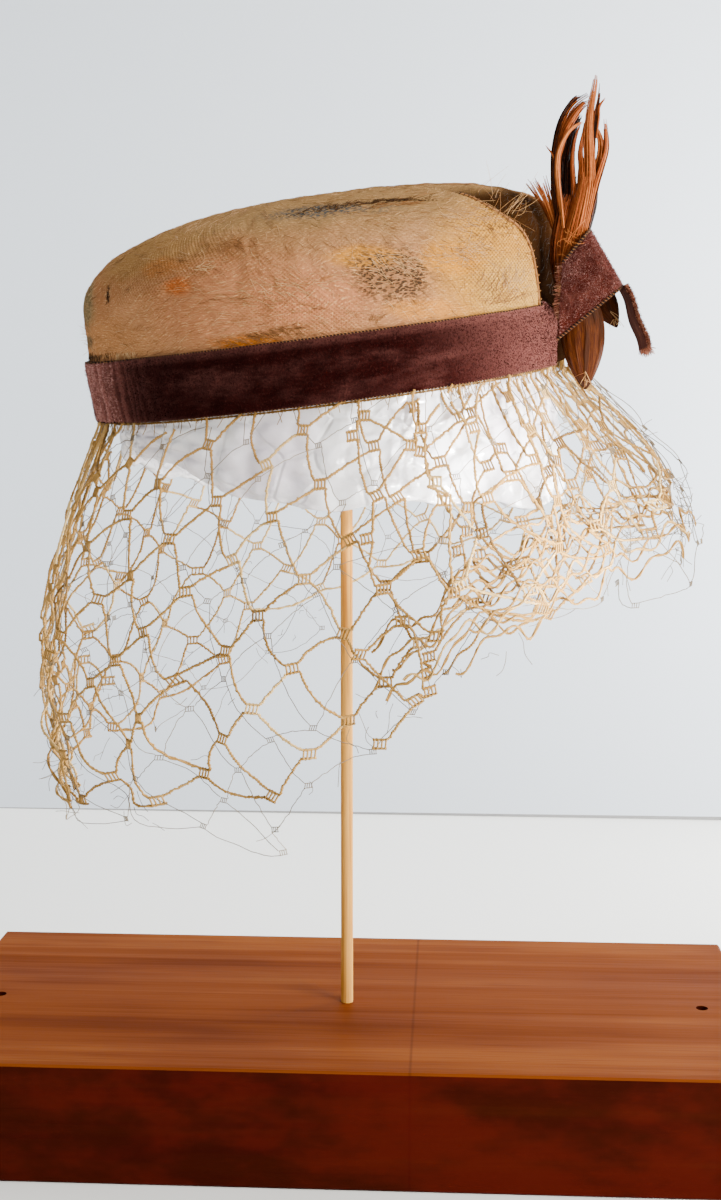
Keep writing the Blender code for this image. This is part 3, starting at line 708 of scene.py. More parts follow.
def velvet_surface(name, dark, light, worn_ends_and_crest_highlight=False):
    """Worn cotton velvet: dark pile with mauve light on it, crushed in streaks along the ribbon."""
    cloth = Surface(name, 0.95, Specular_IOR_Level=0.02, Sheen_Weight=0.05, Sheen_Roughness=0.42)
    cloth.shader.inputs["Sheen Tint"].default_value = (0.75, 0.40, 0.36, 1.0)
    uv = cloth.uv()
    streaks = cloth.noise(cloth.scaled(uv, (26.0, 130.0, 1.0)), 1.0, 4.0, 0.6)
    blotches = cloth.noise(cloth.scaled(uv, (60.0, 110.0, 1.0)), 1.0, 3.0, 0.6)
    pile = cloth.noise(cloth.scaled(uv, (1500.0, 1100.0, 1.0)), 1.0, 2.0, 0.7)
    worn = cloth.plus(cloth.times(streaks, 0.6), cloth.times(blotches, 0.4))
    worn = cloth.step(worn, 0.44, 0.70)
    if worn_ends_and_crest_highlight:
        # The band's own wear, which also holds painted highlight on its fold crests.
        worn = cloth.calc("MAXIMUM", cloth.times(worn, 0.20), cloth.value("worn"))
    colour = cloth.blend(worn, dark, light)
    colour = cloth.blend(cloth.step(pile, 0.54, 0.76, 0.0, 0.12), colour, light)
    colour = cloth.blend(cloth.step(pile, 0.46, 0.30, 0.0, 0.65), colour, tuple(part * 0.35 for part in dark))
    cloth.colour(colour)
    cloth.bump(pile, 0.0005, 0.8)
    return cloth.material


def hair_surface(name, dark, middle, light, roughness):
    """Strands whose tone runs from dark to light, each a little uneven along its length."""
    hair = Surface(name, roughness, Specular_IOR_Level=0.06)
    tone = hair.value("tone")
    uneven = hair.noise(hair.place, 700.0, 2.0)
    tone = hair.plus(tone, hair.times(hair.calc("SUBTRACT", uneven, 0.5), 0.35))
    lower = hair.blend(hair.step(tone, 0.0, 0.5), dark, middle)
    hair.colour(hair.blend(hair.step(tone, 0.5, 1.0), lower, light))
    return hair.material


def cord_surface():
    """The twisted edge of the ribbon: tan and near-black in turn along its twist, near-black where its bump
    is low.
    """
    cord = Surface("ribbon_edge", 0.9, Specular_IOR_Level=0.15)
    uv = cord.uv()
    slant = cord.plus(cord.part(uv, 0), cord.times(cord.part(uv, 1), 0.5))
    ply = cord.step(cord.calc("SINE", cord.times(slant, 2 * math.pi / EDGE_TWIST)), 0.10, 0.7)
    rust = cord.step(cord.noise(cord.place, 40.0, 2.0), 0.40, 0.60)
    pale = cord.blend(rust, (0.12, 0.036, 0.012), (0.19, 0.085, 0.030))
    cord.colour(cord.blend(ply, (0.008, 0.003, 0.002), pale))
    cord.bump(ply, 0.0003, 0.8)
    return cord.material


def bud_surface():
    """Glossy ochre-brown feather with lengthwise creases, painted shade in the creases, darkening to the tip.
    """
    bud = Surface("bud_feather", 0.55, Specular_IOR_Level=0.07)
    uv = bud.uv()
    grain = bud.noise(bud.scaled(uv, (7.0, 120.0, 1.0)), 1.0, 4.0, 0.65, 0.4)
    creases = bud.noise(bud.scaled(uv, (1.6, 15.0, 1.0)), 1.0, 2.0, 0.5, 0.2)
    colour = bud.blend(bud.step(grain, 0.38, 0.66), (0.032, 0.006, 0.001), (0.090, 0.021, 0.0015))
    # Painted shade in the creases, which the bump presses in.
    colour = bud.blend(bud.step(creases, 0.53, 0.62, 0.0, 0.85), colour, (0.030, 0.008, 0.002))
    tip = bud.step(bud.part(uv, 0), 0.83, 0.97, 0.0, 0.9)
    neck = bud.step(bud.part(uv, 0), 0.42, 0.14, 0.0, 0.85)
    colour = bud.blend(bud.calc("MAXIMUM", tip, neck), colour, (0.024, 0.007, 0.002))
    bud.colour(colour)
    height = bud.calc("SUBTRACT", bud.times(grain, 0.4), bud.step(creases, 0.53, 0.62))
    bud.bump(height, 0.0006, 0.7)
    return bud.material


def film_surface():
    """Clear bubble film, crumpled: lilac-white, with painted highlight along its creases."""
    film = Surface("bubble_film", 0.25, Coat_Weight=0.5, Coat_Roughness=0.12, IOR=1.49, Alpha=0.9)
    film.shader.inputs["Subsurface Weight"].default_value = 0.5
    film.shader.inputs["Subsurface Radius"].default_value = (0.03, 0.03, 0.03)
    cloud = film.noise(film.place, 26.0, 3.0)
    crease = film.cells(film.place, 55.0, "DISTANCE_TO_EDGE")
    colour = film.blend(film.step(cloud, 0.35, 0.65), (0.84, 0.78, 0.84), (0.97, 0.95, 0.98))
    # Painted highlight: white along the creases.
    film.colour(film.blend(film.step(crease, 0.03, 0.0, 0.0, 0.35), colour, (1.0, 1.0, 1.0)))
    height = film.plus(film.noise(film.place, 160.0, 3.0), film.step(crease, 0.0, 0.06))
    film.bump(height, 0.0009, 0.6)
    return film.material


def wood_surface(name, lengthwise, tones, roughness, rings, painted_side_shade=0.0, painted_left_shade=0.0, line_at=None):
    """Planed wood whose grain runs along one axis: growth bands, fine pores and slow changes of tone, with
    painted shade, where asked, on its upright faces and on its left side.
    """
    dark, middle, light = tones
    wood = Surface(name, roughness, Specular_IOR_Level=0.015)
    grain = wood.scaled(wood.place, tuple(0.022 if axis == lengthwise else 1.0 for axis in range(3)))
    bands = wood.noise(grain, rings, 5.0, 0.6, 1.1)
    pores = wood.noise(grain, 900.0, 3.0, 0.6)
    stretch = tuple(0.3 if axis == lengthwise else 1.0 for axis in range(3))
    slow = wood.noise(wood.scaled(wood.place, stretch), 22.0, 3.0)
    tone = wood.plus(wood.times(bands, 0.5), wood.times(slow, 0.5))
    lower = wood.blend(wood.step(tone, 0.36, 0.50), dark, middle)
    colour = wood.blend(wood.step(tone, 0.50, 0.64), lower, light)
    colour = wood.blend(wood.step(pores, 0.54, 0.70, 0.0, 0.45), colour, dark)
    if line_at is not None:
        away = wood.calc("ABSOLUTE", wood.calc("SUBTRACT", wood.part(wood.place, 0), line_at))
        line = tuple(part * 0.5 for part in dark)
        colour = wood.blend(wood.step(away, 0.0009, 0.0, 0.0, 0.45), colour, line)
    if painted_side_shade:
        # Painted shade: the upright faces darker than the top, as less light falls on them.
        upward = wood.part(wood.add("ShaderNodeNewGeometry").outputs["Normal"], 2)
        cloud = wood.step(wood.noise(wood.scaled(wood.place, (0.5, 1.0, 1.0)), 36.0, 4.0, 0.6), 0.38, 0.64)
        side_shade_tone = wood.blend(cloud, (0.016, 0.0007, 0.0006), (0.044, 0.0020, 0.0016))
        colour = wood.blend(wood.step(upward, 0.7, 0.2, 0.0, painted_side_shade), colour, side_shade_tone)
    if painted_left_shade:
        # Painted shade: the left side, away from the lamps, darker.
        side = wood.step(wood.part(wood.place, 0), 0.0006, -0.0006, 0.0, painted_left_shade)
        colour = wood.blend(side, colour, dark)
    wood.colour(colour)
    wood.rough(wood.step(bands, 0.3, 0.7, roughness + 0.12, roughness - 0.06))
    wood.bump(wood.plus(pores, bands), 0.0003, 0.35)
    return wood.material


def lift_of(angles, rises):
    """How far the crown's lumps stand off its plain form."""
    spots = crown_upright(angles, rises)
    lumps = 0.00045 * waves(spots, 0.045, 3, 2) + 0.00022 * waves(spots, 0.013, 4, 2)
    return lumps * smooth_step(0.30, 0.42, spots[..., 2] / CROWN_HEIGHT)


def make_crown(skin):
    """The crown's feather skin, its inner face and the turned edge at the opening."""
    columns, rows = 320, 106
    angles = full_turn(columns)
    rises = np.concatenate([np.linspace(0, 0.96, rows - 8), np.linspace(0.965, 0.9995, 8)])
    angle, rise = np.meshgrid(angles, rises)
    outer = on_crown(angle, rise, lift_of(angle, rise))
    inner = on_crown(angle, np.minimum(rise, 0.97), np.full(angle.shape, -CROWN_WALL))
    count = rows * columns
    faces = [grid_faces(rows, columns, wrap=True), grid_faces(rows, columns, wrap=True)[:, ::-1] + count]
    edge = np.arange(columns)
    after = (edge + 1) % columns
    faces.append(np.stack([edge, edge + count, after + count, after], axis=-1))
    points = np.concatenate([outer.reshape(-1, 3), inner.reshape(-1, 3)])
    piece = show("crown_skin", points, np.concatenate(faces), skin)
    climb = run_along(outer[:, 0])
    up = np.repeat(climb[:, None], columns, axis=1)
    uv = np.stack([angle * MEAN_RIM_RADIUS, up], axis=-1).reshape(-1, 2)
    give_uv(piece, np.concatenate([uv, uv]))
    # Mask of the painted shade behind the ridge, which the skin's material reads by name.
    heights = crown_upright(angle, rise)[..., 2] / CROWN_HEIGHT
    degrees = signed_degrees(angle)
    behind = smooth_step(-0.6, 1.8, behind_ridge(angle, heights)) * (1 - smooth_step(-8, 8, degrees))
    behind = behind * (1 - smooth_step(0.84, 0.97, heights))
    give_value(piece, "behind", np.tile(behind.ravel(), 2))
    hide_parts("crown")


def make_crown_ridge(thread):
    """The hand-stitched ridge before the dent: a rolled edge with a stitch over it every few millimetres."""
    spots = [(math.radians(degrees), height) for degrees, height in RIDGE]
    path = smooth_path([on_crown(angle, rise_of(angle, height), 0.0003) for angle, height in spots], 60)
    stitches = Threads()
    stitches.add(path, 0.00045, 5, 0.45)
    run = np.linspace(0, 1, 26)
    spots = smooth_path(path, 26)
    along = unit(np.gradient(spots, axis=0))
    outward = unit(spots - place(np.array([0.0, 0.0, 0.03])))
    across = np.cross(along, outward)
    for spot, aside, out, share in zip(spots, across, outward, run):
        low = spot - aside * 0.0011
        high = spot + aside * 0.0011 + rng.normal(0, 0.0002, 3)
        stitch = bezier(low, low + out * 0.0011, high + out * 0.0011, high, 7)
        stitches.add(stitch, 0.00017, 4, 0.1 + 0.3 * share)
    piece = stitches.make("crown_ridge", thread)


def strand_on_crown(angle, rise, heading, length, bend, lift, count=6):
    """A short path on the crown's face that starts here and runs this way, and lifts off towards its tip."""
    share = np.linspace(0, 1, count)
    turn = heading + bend * share
    across = np.concatenate([[0], np.cumsum(np.cos(turn[:-1]))])
    upward = np.concatenate([[0], np.cumsum(np.sin(turn[:-1]))])
    angles = angle + across * length / (count - 1) / RADIAN_LENGTH
    rises = rise + upward * length / (count - 1) / RISE_LENGTH
    rises = np.clip(rises, 0.02, 0.97)
    return on_crown(angles, rises, 0.00012 + lift_of(angles, rises) + lift * share**2)


def make_crown_barbs(surface):
    """Loose barbs of the crown's feathers: most lie under the tulle, and some stand off its outline."""
    barbs = Threads()
    chooser = np.random.default_rng(21)
    for _ in range(3600):
        angle = chooser.uniform(0, 2 * math.pi)
        rise = chooser.uniform(0.16, 0.93)
        heading = -0.35 + 0.8 * math.sin(3 * angle + 6 * rise) + chooser.normal(0, 0.22)
        length = chooser.uniform(0.003, 0.008)
        path = strand_on_crown(angle, rise, heading, length, chooser.normal(0, 0.6), 0.0)
        tone = np.clip(chooser.choice([0.30, 0.78]) + chooser.normal(0, 0.14), 0, 1)
        # Painted shade: barbs in the dent behind the ridge are darkened by its depth.
        tone *= 1 - 0.97 * dent(angle, crown_upright(angle, rise)[2] / CROWN_HEIGHT)
        barbs.add(path, 0.000055 * (1.2 - np.linspace(0, 0.8, 6)), 3, tone)
    for row in CROWN_TUFTS:
        for _ in range(row["count"]):
            angle = math.radians(row["at"][0] + chooser.normal(0, row["area"][0] / 1.6))
            rise = rise_of(angle, row["at"][1] + chooser.normal(0, row["area"][1] / 1.6))
            heading = math.radians(row["heading"] + chooser.normal(0, row["spread"]))
            length = row["length"] / 1000 * chooser.uniform(0.5, 1.1)
            path = strand_on_crown(angle, rise, heading, length, chooser.normal(0, 0.4), row["lift"])
            tone = np.clip(row["tone"] + chooser.normal(0, 0.09), 0, 1)
            barbs.add(path, 0.00009 * (1.2 - np.linspace(0, 0.9, 6)), 3, tone)
    stray = ((20, (-36, 0.76), 4, 0.018), (8, (-30, 0.84), 8, 0.012), (26, (-176, 0.42), 9, 0.004))
    for count, spot, spread, length in stray:
        for _ in range(count):
            angle = math.radians(spot[0] + chooser.normal(0, spread))
            start = on_crown(angle, rise_of(angle, spot[1] + chooser.normal(0, 0.03)), 0.0001)
            outward = unit(start - place(np.array([0.0, 0.0, 0.02])))
            heading = unit(outward * 0.6 + chooser.normal(0, 0.55, 3) + np.array([0.15, 0, 0.35]))
            reach = length * chooser.uniform(0.4, 1.0)
            sway = chooser.normal(0, 0.2, 3) * reach
            end = start + heading * reach + sway
            pull = start + heading * reach * 0.7 + sway * 0.4
            path = bezier(start, start + heading * reach * 0.4, pull, end, 9)
            barbs.add(path, np.linspace(0.00008, 0.00004, 9), 3, chooser.uniform(0.5, 0.9))
    piece = barbs.make("crown_barbs", surface)


def band_rise(angle, height):
    """The rise of the crown's wall at this height above the opening, which may be a little below it."""
    return WALL_SHARE * height / (by_side(SHOULDER_SHARE, angle) * CROWN_HEIGHT)


def crush(angle):
    """The upright folds of the crushed velvet, from -1 to 1."""
    return np.sin(angle * 150 + 2.2 * np.sin(angle * 37))


def band_wear_and_crest_highlight(angle, height):
    """Where the band is pale: worn at both ends, and crushed upright round the plain side, with painted
    highlight on the crests of the upright folds.
    """
    degrees = np.degrees(angle)
    end = smooth_step(290, 334, degrees + 500 * (height - 0.011))
    # Paler on the crests of the folds: painted highlight, over the crushed wear.
    crushed_wear_and_crest_highlight = bell(degrees, 205, 16) * (0.35 + 0.65 * smooth_step(-0.6, 0.9, crush(angle)))
    hems = 0.20 * smooth_step(0.0180, 0.0205, height)
    return np.clip(0.52 * end + 1.0 * crushed_wear_and_crest_highlight + hems, 0, 1)


def band_lift(angle, height):
    """The band's crush folds round the plain side, and its small unevenness elsewhere."""
    degrees = np.degrees(angle)
    folds = 0.0011 * bell(degrees, 204, 15) * crush(angle)
    soft = 0.00025 * np.sin(angle * 23 + height * 300) + 0.0002 * np.sin(angle * 57 - height * 500)
    return folds + soft


def band_outside(angle, height):
    """How far the band's outer face stands off the crown."""
    belly = np.sin(math.pi * (height + BAND_BELOW_RIM) / BAND_WIDTH)
    return GAP + BAND_THICKNESS + BAND_BELLY * belly + band_lift(angle, height)


def make_band(velvet):
    """The velvet band round the opening, which ends at both sides of the ornament."""
    columns, rows = 620, 15
    angles = np.linspace(BAND_START, BAND_END, columns)
    heights = np.linspace(-BAND_BELOW_RIM, BAND_WIDTH - BAND_BELOW_RIM, rows)
    angle, height = np.meshgrid(angles, heights)
    rise = band_rise(angle, height)
    outer = on_crown(angle, rise, band_outside(angle, height))
    inner = on_crown(angle, rise, np.full(angle.shape, GAP))
    along = run_along(outer[rows // 2])
    uv = np.stack([np.repeat(along[None], rows, axis=0), height + BAND_BELOW_RIM], axis=-1)
    band = ribbon("band_velvet", outer, inner, uv, velvet)
    # Wear, with painted highlight on the fold crests, for the band's material to read.
    give_value(band, "worn", np.tile(band_wear_and_crest_highlight(angle, height).ravel(), 2))
    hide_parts("ribbon_band")
    return band, float(along[-1])


def make_band_pile(hair):
    """The band's pile: short hairs that stand off the velvet, pale where it is worn, and on the crests of its
    folds as painted highlight.
    """
    chooser = np.random.default_rng(5)
    count = 60000
    angle = chooser.uniform(BAND_START, BAND_END, count)
    height = chooser.uniform(0.0, BAND_WIDTH - 2 * BAND_BELOW_RIM, count)
    rise = band_rise(angle, height)
    root_lift = band_outside(angle, height) - 0.0001
    length = chooser.uniform(0.0004, 0.0008, count)
    roots = on_crown(angle, rise, root_lift)
    lean = chooser.normal(0, 0.004, count)
    tips = on_crown(angle + lean, rise + chooser.normal(0, 0.004, count), root_lift + length)
    streak = waves(np.stack([angle * MEAN_RIM_RADIUS, height * 4], axis=-1), 0.05, 12)
    tone = -0.30 + 0.17 * streak + 0.76 * band_wear_and_crest_highlight(angle, height) + chooser.normal(0, 0.12, count)
    tone += 0.86 * bell(np.degrees(angle), 206, 16)
    piece = fuzz("band_pile", roots, tips, PILE_WIDTH, np.clip(tone, 0, 1), hair)
    return piece


def make_edge_cord(name, path, radius, surface):
    """A twisted cord along a ribbon's edge."""
    sides = 6
    cord = Threads()
    cord.add(path, radius, sides)
    piece = cord.make(name, surface)
    run = run_along(path)
    turn = np.arange(sides) / sides * EDGE_GIRTH
    give_uv(piece, np.stack(np.broadcast_arrays(run[:, None], turn[None]), axis=-1).reshape(-1, 2))
    return piece


def make_band_edges(surface):
    """The corded edges of the band."""
    pieces = []
    angles = np.linspace(BAND_START, BAND_END, 900)
    for name, height in (("band_edge_low", -BAND_BELOW_RIM), ("band_edge_high", BAND_WIDTH - BAND_BELOW_RIM)):
        heights = np.full(angles.shape, height)
        lift = GAP + BAND_THICKNESS * 0.7 + band_lift(angles, heights)
        path = on_crown(angles, band_rise(angles, heights), lift)
        pieces.append(make_edge_cord(name, path, BAND_EDGE_RADIUS, surface))
    return pieces


def loop_depths():
    """The depths of the loop's front and back, from the model."""
    low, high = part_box("ribbon_loop")
    return low[1], high[1]


def from_root(shares, depth):
    """A point of the loop, in shares of its width and height from the plume's root."""
    return np.array([PLUME_ROOT[0] + shares[0] * LOOP_WIDTH, depth, PLUME_ROOT[2] + shares[1] * LOOP_HEIGHT])


def loop_edge(cut, fold, inset):
    """One edge of the velvet loop, this far inside its outer face."""
    front, back = loop_depths()
    start = from_root(LOOP_CORNERS[cut], front + inset)
    end = from_root(LOOP_CORNERS[fold], front + inset)
    along = unit(end - start)
    depth = back - front - 2 * inset
    turn_start = end - along * FOLD_REACH
    run = [mix(start, turn_start, share) for share in np.linspace(0, 1, 26)[:-1]]
    for turn in np.linspace(0, math.pi, 30):
        back_step = np.array([0, depth * (0.5 - 0.5 * math.cos(turn)), 0])
        run.append(turn_start + along * ((FOLD_REACH - inset) * math.sin(turn)) + back_step)
    run += [run[-1] - along * LOOP_BACK_RUN * share for share in np.linspace(0, 1, 9)[1:]]
    return np.array(run)


def strip_between(name, low_outer, high_outer, low_inner, high_inner, rows, surface):
    """A velvet strip between two edges."""
    share = np.linspace(0, 1, rows)[:, None, None]
    outer = mix(low_outer[None], high_outer[None], share)
    inner = mix(low_inner[None], high_inner[None], share)
    outward = unit(outer - inner)
    run = run_along(low_outer)
    wide = np.linalg.norm(high_outer[0] - low_outer[0])
    uv = np.stack(np.broadcast_arrays(run[None, :], share[:, :, 0] * wide), axis=-1)
    return ribbon(name, outer, inner, uv, surface), outer, outward


def pile_over(name, outer, outward, count, seed, hair, tone):
    """Short hairs spread evenly over a strip's outer grid."""
    chooser = np.random.default_rng(seed)
    rows, columns = outer.shape[:2]
    row = chooser.uniform(0, rows - 1.001, count)
    column = chooser.uniform(0, columns - 1.001, count)
    low, left = row.astype(int), column.astype(int)
    up, across = (row - low)[:, None], (column - left)[:, None]
    lower = mix(outer[low, left], outer[low, left + 1], across)
    roots = mix(lower, mix(outer[low + 1, left], outer[low + 1, left + 1], across), up)
    out = np.broadcast_to(outward, outer.shape)[low, left]
    heading = out + chooser.normal(0, 0.35, (count, 3))
    tips = roots + heading * chooser.uniform(0.0004, 0.0009, count)[:, None]
    tones = tone + 0.18 * waves(roots, 0.02, seed) + chooser.normal(0, 0.15, count)
    piece = fuzz(name, roots, tips, PILE_WIDTH, np.clip(tones, 0, 1), hair)
    return piece


def make_loop(velvet, hair, cord, fray):
    """The folded velvet loop with its corded hems, its pile and its frayed cut edge."""
    edges = [loop_edge(cut, fold, inset) for inset in (0.0, LOOP_THICKNESS)
             for cut, fold in (("cut_low", "fold_low"), ("cut_high", "fold_high"))]
    loop, outer, outward = strip_between("loop_velvet", *edges, 24, velvet)
    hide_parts("ribbon_loop")
    pile = pile_over("loop_pile", outer, outward, 22000, 31, hair, 0.62)
    hems = []
    for name, edge in (("loop_hem_low", outer[0]), ("loop_hem_high", outer[-1])):
        path = smooth_path(edge[:44], 160) + outward[0][0] * 0.0001
        hems.append(make_edge_cord(name, path, LOOP_EDGE_RADIUS, cord))
    threads = Threads()
    chooser = np.random.default_rng(8)
    for place_share in np.linspace(0.0, 1.0, 170):
        start = mix(outer[0][0], outer[-1][0], place_share) + np.array([0.0006, 0.0004, 0])
        reach = 0.0013 + 0.0013 * (0.5 + 0.5 * math.sin(place_share * 96)) + chooser.uniform(-0.0004, 0.0006)
        heading = np.array([-1.0, chooser.normal(-0.1, 0.2), chooser.normal(-0.25, 0.25)])
        end = start + unit(heading) * (reach + 0.0006)
        path = bezier(start, start + [-0.0004, 0, 0], end + [0.0003, 0, 0], end, 5)
        threads.add(path, 0.00008, 3, chooser.uniform(0.2, 0.9))
    frayed = threads.make("loop_fray", fray)
    return loop, [pile, *hems, frayed]


def make_tail(velvet, hair, fray):
    """The ribbon's loose end: dark on its inner face, pale along its near edge and frayed at its cut end."""
    low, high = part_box("ribbon_tail")
    down = np.array([math.sin(TAIL_LEAN), 0, -math.cos(TAIL_LEAN)])
    aside = np.cross(down, [0, 1, 0])
    start = from_root(LOOP_CORNERS["fold_low"], 0) + aside * 0.0004
    share = np.linspace(0, 1, 30)[:, None]
    sway = 0.0006 * np.sin(math.pi * share) + 0.0004 * np.sin(share * 9)
    spine = start + down * TAIL_LENGTH * share + aside * sway
    edges = []
    for side in (0.5, -0.5):
        for depth, shift in ((low[1], 0.0), (high[1], -0.0013)):
            out = TAIL_THICKNESS * side + shift * np.minimum(1, 0.35 + share)
            edges.append(spine + [0, depth, 0] + aside * out)
    tail, outer, outward = strip_between("tail_velvet", *edges, 14, velvet)
    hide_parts("ribbon_tail")
    pile = pile_over("tail_pile", outer, outward, 6000, 32, hair, 0.30)
    threads = Threads()
    chooser = np.random.default_rng(9)
    for place_share in np.linspace(0, 1, 90):
        start = mix(edges[2][-1], edges[3][-1], place_share) + aside * TAIL_THICKNESS * chooser.uniform(0, 1)
        heading = unit(down + chooser.normal(0, 0.35, 3))
        end = start + heading * chooser.uniform(0.0010, 0.0034)
        path = bezier(start - down * 0.0004, start, end - heading * 0.0003, end, 5)
        threads.add(path, 0.00014, 3, chooser.uniform(0.3, 1.0))
    for _ in range(420):
        # These two draws place nothing; the threads' own draws follow on them.
        chooser.uniform()
        chooser.normal(0, 0.0003, 3)
        start = edges[0][chooser.integers(0, 29)] + aside * chooser.uniform(-TAIL_THICKNESS, 0)
        start = start + down * chooser.uniform(0, 0.0008)
        heading = down * chooser.uniform(0, 0.8)
        heading = unit(heading + [chooser.normal(0.1, 0.4), -0.9, chooser.normal(0, 0.3)])
        path = np.stack([start, start + heading * 0.0005, start + heading * 0.0010])
        threads.add(path, 0.00010, 3, chooser.uniform(0.4, 0.95))
    frayed = threads.make("tail_fray", fray)
    return tail, [pile, frayed]


def make_plume(surface):
    """Locks of fine flat strands along the plume's curves, with a few crossing hairs."""
    plume = Threads()
    chooser = np.random.default_rng(14)
    for row in PLUME_LOCKS:
        path = smooth_path(row["path"], 26) / 1000
        along = unit(np.gradient(path, axis=0))
        side = np.stack([along[:, 1], -along[:, 0]], axis=-1)
        share = np.linspace(0, 1, 26)
        body = np.minimum(1.0, 0.55 + 1.4 * share) * (1 - (1 - row["tip"]) * share**2.2)
        wide = row["half_width"] / 1000
        for strand in range(row["strands"]):
            offset = mix(-1, 1, (strand + 0.5) / row["strands"]) + chooser.normal(0, 0.08)
            curl = chooser.normal(0, 0.10) * share**2
            flat_path = path + side * ((offset + curl) * wide * body)[:, None]
            last = int(26 * chooser.uniform(0.86, 1.0))
            depth = row["depth"] / 1000 + 0.5 * wide * offset**2 + chooser.normal(0, 0.00025)
            depth = depth - 0.0006 * np.sin(3 * share + offset)
            points = np.stack([flat_path[:, 0], depth, flat_path[:, 1]], axis=-1)[:last] + PLUME_ROOT
            thin = 0.00028 * (1.15 - share[:last] ** 3) * chooser.uniform(0.7, 1.25)
            # Strands at a lock's edges, which lie deeper, are darkened: painted shade between the locks.
            shade = row["tone"] - 0.30 * abs(offset) ** 3 + chooser.normal(0, 0.16)
            radius = thin * (0.4 + 0.6 * np.minimum(body, 1.0)[:last])
            plume.add(points, radius, 4, np.clip(shade, 0, 1), flat=0.30, face=(0.2, -0.96, 0.1))
    for _ in range(16):
        start = PLUME_ROOT + np.array([chooser.uniform(-3, 2), -4.2, chooser.uniform(2, 16)]) / 1000
        away = [chooser.uniform(3, 8), chooser.uniform(-0.6, 0.6), chooser.uniform(-9, 9)]
        end = start + np.array(away) / 1000
        sway = chooser.normal(0, 0.0012, 3)
        plume.add(bezier(start, start + sway, end + sway, end, 8), 0.00009, 3, 0.95)
    piece = plume.make("plume_feathers", surface)
    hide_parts("plume")


def make_bud(name, surface, hair):
    """An almond of stiff feather with lengthwise creases and a few hairs at its tip."""
    row = BUDS[name]
    lean = math.radians(row["lean"])
    down = np.array([math.sin(lean), 0, -math.cos(lean)])
    side = np.cross(down, [0, 1, 0])
    low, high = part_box(name)
    neck = PLUME_ROOT + np.array([row["neck"][0], 0, row["neck"][1]]) / 1000
    neck[1] = (low[1] + high[1]) / 2
    rings, turns = 60, 64
    share = np.linspace(0, 1, rings)[:, None]
    turn = full_turn(turns)[None]
    full = np.sin(math.pi * mix(0.16, 0.992, share)) ** 0.8
    crease = 1 - 0.10 * np.exp(-(((turn - 4.55 - 0.25 * share) % (2 * math.pi) - math.pi) / 0.16) ** 2)
    crease *= 1 - 0.06 * np.sin(turn * 7 + 2 * share) ** 8 - 0.012 * np.sin(turn * 23 + 5 * share)
    wide = row["width"] / 2000 * full * crease
    thick = row["thick"] / 2000 * full * crease
    spine = neck + down * (row["length"] / 1000) * share
    points = spine[:, None] + side * (wide * np.cos(turn))[..., None]
    points = points + np.array([0, 1, 0]) * (thick * np.sin(turn))[..., None]
    faces = [tuple(face) for face in grid_faces(rings, turns, wrap=True)]
    faces.append(tuple(range(turns)))
    faces.append(tuple(range((rings - 1) * turns, rings * turns)))
    piece = show(name + "_skin", points.reshape(-1, 3), faces, surface)
    give_uv(piece, np.stack(np.broadcast_arrays(share, turn / (2 * math.pi)), axis=-1).reshape(-1, 2))
    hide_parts(name)
    tip = neck + down * row["length"] / 1000
    wisps = Threads()
    chooser = np.random.default_rng(len(name))
    for _ in range(9):
        away = [chooser.normal(0, 0.002), chooser.normal(-0.0004, 0.0006), chooser.uniform(-0.0006, 0.004)]
        end = tip + np.array(away)
        start = tip - down * chooser.uniform(0.001, 0.007) - [0, row["thick"] / 3000, 0]
        path = bezier(start, start - [0, 0.001, 0], end + [0, -0.001, 0.0006], end, 8)
        wisps.add(path, 0.00009, 3, chooser.uniform(0.5, 1))
    hairs = wisps.make(name + "_hairs", hair)


def veil_fall(angle, column):
    """A column of the veil's table at any angle, smoothly."""
    table = np.array([[row["angle"], row[column]] for row in VEIL_FALL], float)
    degrees = np.degrees(angle) % 360
    spread = np.arange(-8, 9, 4)
    return np.mean([np.interp((degrees + step) % 360, table[:, 0], table[:, 1]) for step in spread], axis=0)


def veil_place(around, fall, lift=0.0):
    """Points of the veil: around is metres along the rim from +X, fall is metres below the hem."""
    angle = around / MEAN_RIM_RADIUS
    along = (RIM_HALF_LENGTH - CROWN_WALL / 2) * np.cos(angle)
    across = (RIM_HALF_DEPTH - CROWN_WALL / 2) * np.sin(angle)
    hem = place(np.stack([along, across, np.full(np.shape(angle), -GAP - VEIL_HEM)], axis=-1))
    level = np.zeros(np.shape(angle))
    outward = [RIM_HALF_DEPTH * np.cos(angle), RIM_HALF_LENGTH * np.sin(angle), level]
    outward = unit(np.stack(outward, axis=-1))
    drop = veil_fall(angle, "drop") / 1000
    share = np.clip(fall / drop, 0, 1.15)
    curve = np.radians(veil_fall(angle, "curve"))
    reach = veil_fall(angle, "flare") / 1000 * np.sin(curve * np.minimum(share, 1.0))
    gather = 0.0035 * np.sin(angle * 11 + 1.5 * np.sin(angle * 3)) + 0.002 * np.sin(angle * 23 + fall * 60)
    reach = reach + gather * np.clip(share * 1.6, 0, 1) + lift
    down = np.stack([np.zeros_like(fall), np.zeros_like(fall), fall], axis=-1)
    return hem + outward * reach[..., None] - down


